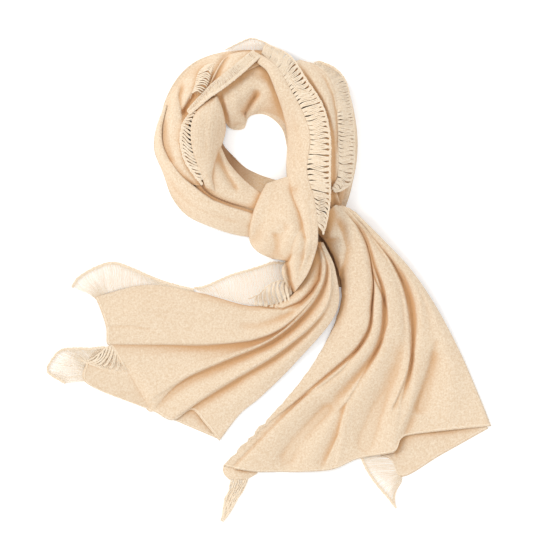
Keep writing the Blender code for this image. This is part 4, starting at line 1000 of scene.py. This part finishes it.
RIGHT_OPEN_BAND = (
    (60.5, 308, 70.5, 311, -2, -4),
    (79, 297, 93, 301, -2, -4),
    (90, 278.5, 108.5, 282.5, -2, -4),
    (97.5, 250, 115.5, 251.5, -2, -4),
    (100, 213, 120, 213, -2, -4),
    (100, 173, 120, 173, -2, -4),
    (99.5, 146.5, 117, 143.5, -2, -4),
    (96, 136.5, 112, 133.5, 0, -3),
    (92.5, 128.5, 101.5, 126.5, 2, 0),
    (89.5, 126.5, 93, 124, 2, 2),
)
# The bands of the tails give heights over the table top in place of lifts.
LEFT_NEAR_OPEN_BAND = (
    (25, -18.5, 16.5, 25.5, 15, 6),
    (13.5, -25.5, 3.5, 25.5, 14, 5),
    (-2, -30, -13.5, 20, 12, 4),
    (-20.5, -31, -33.5, 14, 9, 4),
    (-42, -27.5, -53, 8.5, 7, 4),
    (-63, -22, -73, 0, 6, 3.5),
    (-84.5, -16.5, -89, -7, 5.5, 3.5),
    (-98.5, -13.5, -100, -10, 5, 3.5),
)
LEFT_FAR_OPEN_BAND = (
    (-127, -11.5, -128.5, -8, 3, 2.5),
    (-148.5, -8, -151, -1.5, 2.5, 2.2),
    (-169.5, -5, -172.5, 7, 2.2, 2),
    (-192.5, -5, -195, 17, 2.2, 2),
    (-215, -8.5, -221, 25.5, 2.2, 2),
    (-235, -15.5, -245, 20, 2.2, 2),
    (-248, -21.5, -272, 4.5, 2.2, 2),
    (-250.5, -27, -282, -10, 2.2, 2),
)
LEFT_UNDER_OPEN_BAND = (
    (-192.5, -132, -211, -102, 2, 2),
    (-215, -129, -235, -95, 2, 2),
    (-235, -125, -255, -96.5, 2, 2),
    (-252, -119.5, -277.5, -96.5, 2, 2),
    (-266, -116.5, -297.5, -99.5, 2, 2),
    (-270.5, -123.5, -310.5, -113.5, 2, 2),
    (-269, -133.5, -316, -130.5, 2, 2),
    (-265, -145, -292, -146.5, 2, 2),
)

# Stations of a band: share of its length, pitch of its bunches of three threads, thread radius, how far a
# bunch's cord end lies ahead of its base end, how much of their spacing its threads lose at its ends, bow of
# its middle
THIN_DENSE_LOOSE = ((0, 3.6, 0.68, -3, 0.05, 0), (0.13, 4.2, 0.8, -2, 0.15, 0), (0.17, 6.4, 1.14, -2, 0.5, 0),
                    (0.33, 6.6, 1.2, -1, 0.5, 0), (0.4, 7.0, 1.32, 0, 0.45, 0), (0.55, 7.6, 1.45, 0, 0.5, 0),
                    (0.76, 7.4, 1.4, 3, 0.5, 0), (0.83, 7.0, 1.15, 12, 0.5, 0), (0.9, 6.6, 1.05, 16, 0.5, 0),
                    (1, 6.4, 0.9, 17, 0.45, 0))
THIN_DENSE = ((0, 3.3, 0.62, -3, 0.05, 0), (0.3, 3.6, 0.7, -2, 0.15, 0), (0.45, 5.2, 1.0, 0, 0.3, 1),
              (0.75, 5.8, 1.1, 1, 0.4, 1.5), (1, 5.8, 1.05, 5, 0.35, 1.5))
SLANTED = ((0, 4.8, 0.6, -8, 0.2, 0), (0.3, 5.6, 0.7, -12, 0.2, 0), (0.7, 5.8, 0.7, -14, 0.2, 0),
           (1, 5.6, 0.66, -14, 0.2, 0))
ARCHED = ((0, 8.4, 1.1, 0, 0.1, -4.5), (0.6, 9.6, 1.3, 0, 0.1, -4.5), (1, 10.2, 1.1, 0, 0.1, -3.0))
PRESSED = ((0, 2.85, 0.47, 2, 0.1, 0), (1, 3.1, 0.47, 3, 0.1, 0))
VEIL = ((0, 3.3, 0.28, 0, 0.1, 0), (1, 3.6, 0.26, 0, 0.1, 0))
RUFFLED = ((0, 6.2, 0.8, -14, 0.2, 2), (0.3, 7.0, 0.85, -18, 0.2, 2.5), (0.6, 7.4, 0.8, -16, 0.2, 2),
           (1, 6.4, 0.6, -10, 0.1, 1))
LATTICE = ((0, 6.2, 0.7, -14, 0.2, 0), (0.4, 6.4, 0.75, -24, 0.2, 0), (1, 6.0, 0.7, -26, 0.2, 0))
LOOPED_VEIL = ((0, 3.9, 0.4, 6, 0.1, 0), (0.3, 3.9, 0.36, 4, 0.1, 0), (0.5, 3.6, 0.3, 0, 0.1, 0),
               (1, 3.9, 0.26, 0, 0.1, 0))
SPARSE = ((0, 3.6, 0.24, 0, 0.1, 0), (1, 4.2, 0.24, 0, 0.1, 0))
TRAILING = ((0, 3.6, 0.34, 4, 0.1, 0), (0.3, 3.8, 0.32, 8, 0.1, 0), (0.6, 4.4, 0.3, 14, 0.1, 0),
            (1, 5.4, 0.28, 18, 0.1, 0))

# In the near band a ruffle of thick threads stands beside the knot, the under band begins as a dense lattice,
# and only the trailing end of the right lower layer's band shows.
NEAR_RUFFLE = (
    (32, -20, 23.5, 0, 17, 13),
    (25, -31, 9, -1.5, 15, 12),
    (13.5, -37.5, -3.5, -8.5, 13, 10),
    (-3.5, -36, -15, -20, 11, 7),
    (-25, -33.5, -30.5, -26.5, 8, 6),
)
TRAILING_BAND = (
    (175.5, -255.5, 130, -255, 2, 2),
    (179.5, -271, 138.5, -272.5, 2, 2),
    (177, -285.5, 152.5, -292.5, 2, 2),
    (176, -300.5, 167, -309.5, 2, 2),
    (178, -316.5, 179.5, -325, 2, 2),
)
UNDER_LATTICE = (
    (-205, -130.5, -219.5, -97.5, 3.0, 3.0),
    (-221, -126.5, -228, -93.5, 3.2, 3.2),
    (-239.5, -120.5, -243.5, -105, 3.8, 3.6),
    (-257.5, -117, -259, -115, 3.0, 2.8),
)

# Rows: band, piece, table, level (None on the tails), stations, strands of its cord and their radius, how
# far the rungs reach into the cloth, how far the band runs on before its first row and after its last,
# carried by
OPEN_BANDS = (
    ("front_open_band", "front_threads", FRONT_OPEN_BAND, -1, THIN_DENSE_LOOSE, 2, 0.85, 4, 6, 0,
     "front_strand"),
    ("top_open_band", "top_threads", TOP_OPEN_BAND, 1, SPARSE, 2, 0.5, 3, 2, 6, "top_left_fold"),
    ("arc_open_band", "arc_threads", ARC_OPEN_BAND, 1, ARCHED, 1, 0.3, 2, 0, 3, "lapped_left_band"),
    ("lapped_open_band", "lapped_threads", LAPPED_OPEN_BAND, 0, PRESSED, 3, 0.95, 3, 18, 0,
     "lapped_left_band"),
    ("inner_left_open_band", "inner_left_threads", INNER_LEFT_OPEN_BAND, 1, SLANTED, 3, 0.8, 5, 4, 0,
     "inner_left_band"),
    ("right_open_band", "right_threads", RIGHT_OPEN_BAND, 1, THIN_DENSE, 2, 0.8, 4, 0, 0, "right_strand"),
    ("left_near_open_band", "left_near_threads", LEFT_NEAR_OPEN_BAND, None, VEIL, 3, 0.7, 6, 6, 8,
     "left_tail"),
    ("left_near_open_band", "left_near_ruffle", NEAR_RUFFLE, None, RUFFLED, 2, 0.4, 4, 0, 0, "left_tail"),
    ("left_far_open_band", "left_far_threads", LEFT_FAR_OPEN_BAND, None, VEIL, 3, 0.8, 6, 20, 0, "left_tail"),
    ("left_under_open_band", "left_under_threads", LEFT_UNDER_OPEN_BAND, None, LOOPED_VEIL, 3, 0.7, 8, 8, 0,
     "left_tail_under"),
    ("left_under_open_band", "left_under_lattice", UNDER_LATTICE, None, LATTICE, 2, 0.6, 2, 0, 0,
     "left_tail_under"),
    ("right_under_open_band", "right_under_threads", TRAILING_BAND, None, TRAILING, 3, 0.75, 9, 12, 0,
     "right_tail_under"),
)
RUNG_POINTS = 14
RUNG_THREADS = 3
SEED_STEP = 31           # a band's seed is this times the letters of its name, plus its length
SPARE = 26               # the table is drawn out this far at both ends for the band to run on
BASE_DIP, DIP_POWER = 1.2, 6   # fall of a rung's first millimetres into the cloth, and how steep
SWELL = 2.0              # side step of an S-shaped rung
SWELL_LENGTH = 19.0      # its shape changes along the band over this length
PINCHED = (0.16, 0.86)   # shares of a rung's length where its threads draw together
PINCH_WIDTH = 0.12
BASE_PINCH = 0.65        # they draw together less beside the cloth than beside the cord
PINCH_RANGE = (0.4, 1.5)
# Bunches of these bands keep apart all along, so they take up less than their pitch.
GATHERED = {"inner_left_threads": 0.72, "left_near_ruffle": 0.64, "left_under_lattice": 0.6}
FOOT_SCATTER, LEAN = 0.035, 0.04     # spread of a bunch's place and of its lean, in pitches
THREAD_RANGE = (0.9, 1.06)           # a bunch's threads are this much of their station's radius
RIPPLE_RANGE, RIPPLE_TURNS = (0.05, 0.3), 1.5   # sideways ripple of a single thread, and its waves
RISE_RANGE = (-0.3, 0.4)             # how far a thread's middle sinks or rises
CORD_STEP, CORD_LIFT = 1.5, 0.4      # spacing of the cord's points and its rise over the threads
SCALLOP, CORD_INSET = 0.35, 0.75     # waves of the cord's line, and how far it lies inside the edge in radii


def join(parts):
    """One list of points and faces from several."""
    points, faces, start = [], [], 0
    for some_points, some_faces in parts:
        points.append(some_points)
        faces += [[k + start for k in face] for face in some_faces]
        start += len(some_points)
    return np.concatenate(points), faces


def band_place(rows, length, level, along, across, radius):
    """Plan and height of points of a band: along in millimetres, across from 0 at the base to 1 at the
    cord.  The height is the pile's less the layers above, or the table's where the band has no level."""
    parts = [np.interp(along, length, rows[:, k]) for k in range(6)]
    x = parts[0] + (parts[2] - parts[0]) * across
    y = parts[1] + (parts[3] - parts[1]) * across
    z = parts[4] + (parts[5] - parts[4]) * np.clip(across, 0, 1)
    if level is not None:
        z = z + relief(x, y) - level * LAYER
    return np.stack([x, y, np.maximum(z - radius, radius + FLOOR_GAP)], axis=-1)


# A rung is a bunch of threads from the cloth to the cord.  Its place along the band is its foot's, plus an
# S-shaped swell, a slant by the share of its length, and a lean and a bow by half a sine of it.  Its threads
# draw together by a bell of that share near each end.
for name, threads, table, level, stations, strands, cord, tuck, before, after, carrier in OPEN_BANDS:
    rows, length = even_rows(table, 1.0)
    end = length[-1]
    width = np.hypot(rows[:, 2] - rows[:, 0], rows[:, 3] - rows[:, 1])
    rows = np.concatenate([rows[:1] + (rows[:1] - rows[1:2]) * SPARE / length[1], rows,
                           rows[-1:] + (rows[-1:] - rows[-2:-1]) * SPARE / length[1]])
    length = np.concatenate([[-SPARE], length, [end + SPARE]])
    generator = np.random.default_rng(len(threads) * SEED_STEP + int(end))
    station = np.array(stations)
    fine = np.linspace(-before, end + after, FINE_STEPS)
    counted = np.cumsum(1 / np.interp(fine / end, station[:, 0], station[:, 1])) * (fine[1] - fine[0])
    foot = np.interp(np.arange(int(counted[-1])) + 0.5, counted, fine)
    pitch, radius, slant, pinch, bow = (np.interp(foot / end, station[:, 0], station[:, k])[:, None]
                                        for k in (1, 2, 3, 4, 5))
    count = len(foot)
    share = np.linspace(0, 1, RUNG_POINTS)
    foot = foot[:, None] + generator.normal(0, FOOT_SCATTER, (count, 1)) * pitch
    radius = radius * generator.uniform(*THREAD_RANGE, (count, 1))
    start = -tuck / np.interp(foot, length[1:-1], width)
    swell = SWELL * np.sin(foot / SWELL_LENGTH + len(threads)) * np.sin(2 * np.pi * share)
    near_base, near_cord = (bell(share - at, PINCH_WIDTH) for at in PINCHED)
    at_base = BASE_PINCH * pinch * generator.uniform(*PINCH_RANGE, (count, 1)) * near_base
    at_cord = pinch * generator.uniform(*PINCH_RANGE, (count, 1)) * near_cord
    lean = generator.normal(0, LEAN, (count, 1)) * pitch * np.sin(np.pi * share)
    paths = []
    for k in range(RUNG_THREADS):
        spread = GATHERED.get(threads, 1) * pitch * (1 - at_base - at_cord)
        apart = (k - (RUNG_THREADS - 1) / 2) / RUNG_THREADS * spread
        ripple = generator.uniform(*RIPPLE_RANGE, (count, 1)) * np.sin(
            2 * np.pi * (share * RIPPLE_TURNS + generator.uniform(0, 1, (count, 1))))
        along = foot + apart + swell + lean + ripple + slant * (share - 0.5) + bow * np.sin(np.pi * share)
        along = np.clip(along, -before, end + after)
        path = band_place(rows, length, level, along, start + (1 - start) * share, radius)
        path[..., 2] += generator.uniform(*RISE_RANGE, (count, 1)) * np.sin(np.pi * share)
        path[..., 2] = np.maximum(path[..., 2] - BASE_DIP * (1 - share) ** DIP_POWER, radius + FLOOR_GAP)
        paths.append(path)
    edge = np.linspace(-before, end + after, int((end + before + after) / CORD_STEP))
    scallop = SCALLOP * np.cos(2 * np.pi * edge / (2 * pitch.mean()))
    inset = (CORD_INSET * cord * strands + scallop) / np.interp(edge, length[1:-1], width)
    cord_line = band_place(rows, length, level, edge, 1 - inset, cord + CORD_LIFT) + (0, 0, CORD_LIFT)
    bodies = [tubes(np.concatenate(paths), np.tile(radius, (RUNG_THREADS, RUNG_POINTS)), THREAD_SIDES),
              tubes(chain_lines(cord_line, cord, strands), cord, ROUND_SIDES)]
    made = piece(threads, *join(bodies), yarn)
    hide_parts(name)
    trims.setdefault(carrier, []).append(made)

# The cord of the inner left band runs on in the seam between the outer and the lower stretch.  It takes the
# jersey with painted shade, which paints the seam as a dark line.
SEAM_CORD = (-98.5, 135.5, -91.5, 127, -79, 118, -59, 109.5, -39, 103.5, -20.5, 98.5)
SEAM_DEPTH, SEAM_THREAD = 3.6, 0.6   # depth under the outer stretch, radius of its two strands
seam_line = curve(np.reshape(SEAM_CORD, (-1, 2)), 60)
seam_height = relief(seam_line[:, 0], seam_line[:, 1], knot=False) - LAYER - SEAM_DEPTH
seam_lines = chain_lines(np.column_stack([seam_line, seam_height]), SEAM_THREAD, 2)
seam_cord = piece("seam_cord", *tubes(seam_lines, SEAM_THREAD, ROUND_SIDES), pressed_shaded_knit)
trims["inner_left_band"].append(seam_cord)

# ---------------------------------------------------------------- painted shade in the depth of the folds
# Painted shade: cloth that lies deep between its neighbours is painted browner, for the shade that falls
# there and the warmer light that comes back from deep in brushed cashmere.  Each point's depth under the
# smoothed surface of the pile is kept as an attribute that sets this painted shade.
CELL = 3.0
FIELD = (-324.0, -351.0, 216, 234)   # lowest x and y of the field, cells along x and y
# Half width of the smoothing, depth without effect, depth of full effect
WIDE_REACH, WIDE_SPARED, WIDE_DEPTH = 12.0, 0.4, 8.0
NEAR_REACH, NEAR_SPARED, NEAR_DEPTH = 4.0, 0.3, 2.6
NEAR_SHARE = 0.75        # the near depth reaches this much of the full effect
OPEN_REACH = 14.0        # light that comes in from the open table spares the outline over this distance
PRESSED_AT = (-52.0, -33.0, -12.0, 22.0, 60.0)   # x from the left of the ring's opening to the knot's gap
# Painted shade of the pressed layers changes along x: full at the left of the opening, little in the middle,
# much again at the knot's gap.
PRESSED_SHADE = (1.0, 0.72, 0.28, 0.25, 0.85)    # how brown the pressed layers look there
LOOSE_SHARE = 0.22       # loose threads let most of the light through
COVER_GAIN, COVER_LOSS = 2.5, 1.5    # cover of 0.6 all round counts as none, cover of 1 as full
FLAT_HEIGHT, FLAT_RISE = 1.3, 1.5    # cloth flat on the table isn't shaded; full shade is this much higher


def smoothed(field, reach):
    """Mean over a square of two thirds of that half width, taken three times in both directions."""
    half = max(round(reach / CELL / 1.5), 1)
    kernel = np.ones(2 * half + 1) / (2 * half + 1)
    for _ in range(3):
        for axis in (0, 1):
            padded = np.apply_along_axis(np.pad, axis, field, half, mode="edge")
            field = np.apply_along_axis(np.convolve, axis, padded, kernel, mode="valid")
    return field


def sample(field, x, y):
    """Value of the field at plan points, straight-line between the centres of its cells."""
    across, up = (x - FIELD[0]) / CELL - 0.5, (y - FIELD[1]) / CELL - 0.5
    i = np.clip(across.astype(int), 0, FIELD[2] - 2)
    j = np.clip(up.astype(int), 0, FIELD[3] - 2)
    p, q = np.clip(across - i, 0, 1), np.clip(up - j, 0, 1)
    return ((field[i, j] * (1 - p) + field[i + 1, j] * p) * (1 - q)
            + (field[i, j + 1] * (1 - p) + field[i + 1, j + 1] * p) * q)


cloths = (knit, pressed_shaded_knit, yarn)
made_pieces = [made for made in bpy.data.objects if made.type == "MESH" and made.active_material in cloths]
places = {}
cover = np.zeros(FIELD[2:])
for made in made_pieces:
    flat = np.empty(len(made.data.vertices) * 3, np.float32)
    made.data.vertices.foreach_get("co", flat)
    x, y, z = (flat.reshape(-1, 3).T / MM).astype(float)
    places[made.name] = (x, y, z)
    i = np.clip(((x - FIELD[0]) / CELL).astype(int), 0, FIELD[2] - 1)
    j = np.clip(((y - FIELD[1]) / CELL).astype(int), 0, FIELD[3] - 1)
    np.maximum.at(cover, (i, j), z)
wide, near = smoothed(cover, WIDE_REACH), smoothed(cover, NEAR_REACH)
covered = smoothed((cover > 0).astype(float), OPEN_REACH)
for made in made_pieces:
    x, y, z = places[made.name]
    broad = np.clip((sample(wide, x, y) - z - WIDE_SPARED) / WIDE_DEPTH, 0, 1)
    fine = np.clip((sample(near, x, y) - z - NEAR_SPARED) / NEAR_DEPTH, 0, 1)
    enclosed = np.clip(COVER_GAIN * sample(covered, x, y) - COVER_LOSS, 0, 1)
    if "tail_under" not in made.name:
        enclosed *= np.clip((z - FLAT_HEIGHT) / FLAT_RISE, 0, 1)
    depth = enclosed * (1 - (1 - broad) * (1 - NEAR_SHARE * fine))
    if made.active_material == yarn:
        depth *= LOOSE_SHARE
    elif made.active_material == pressed_shaded_knit:
        depth = np.interp(x, PRESSED_AT, PRESSED_SHADE)
    made.data.attributes.new("painted_fold_shade", "FLOAT", "POINT").data.foreach_set("value", depth)

# ---------------------------------------------------------------- table top, light and camera
# White table top, soft daylight from a window on the left and an even fill all round.  The paper glows a
# little, which stands in for the light that white surroundings give back.
TABLE_SIZE = 8           # metres
bpy.ops.mesh.primitive_plane_add(size=TABLE_SIZE)
table_top = bpy.context.object
table_top.name = "stage_table"
paper = bpy.data.materials.new("matt_white_paper")
paper.use_nodes = True
for key, value in {"Base Color": linear("#FAFAFA"), "Roughness": 1.0, "Specular IOR Level": 0.0,
                   "Emission Color": (1, 1, 1, 1), "Emission Strength": 0.16}.items():
    paper.node_tree.nodes["Principled BSDF"].inputs[key].default_value = value
table_top.data.materials.append(paper)

world = bpy.data.worlds.new("even_fill")
bpy.context.scene.world = world
world.use_nodes = True
world.node_tree.nodes["Background"].inputs["Color"].default_value = (1, 1, 1, 1)
world.node_tree.nodes["Background"].inputs["Strength"].default_value = 1.02

WINDOW_TOWARDS = (1.0, -0.3, -0.88)
WINDOW_SPREAD = 16       # degrees, for soft edges of the shadows
window = bpy.data.lights.new("window_light", "SUN")
window.energy = 1.0
window.angle = np.radians(WINDOW_SPREAD)
window.color = linear("#FFFBF5")[:3]
window_light = bpy.data.objects.new("window_light", window)
window_light.rotation_euler = Vector(WINDOW_TOWARDS).to_track_quat("-Z", "Y").to_euler()
bpy.context.collection.objects.link(window_light)

VIEW_CENTRE = (-4.5, 19)
VIEW_WIDTH = 0.757       # what the camera takes in at the height of the cloth
LENS = 300.0
SENSOR = 36.0
camera_data = bpy.data.cameras.new("camera")
camera_data.lens = LENS
camera_data.sensor_width = SENSOR
camera_data.clip_end = 50
camera = bpy.data.objects.new("camera", camera_data)
camera.location = ((VIEW_CENTRE[0] - MIDDLE[0]) * MM, (VIEW_CENTRE[1] - MIDDLE[1]) * MM,
                   VIEW_WIDTH * LENS / SENSOR)
bpy.context.collection.objects.link(camera)
bpy.context.scene.camera = camera
bpy.context.scene.view_settings.view_transform = "Standard"
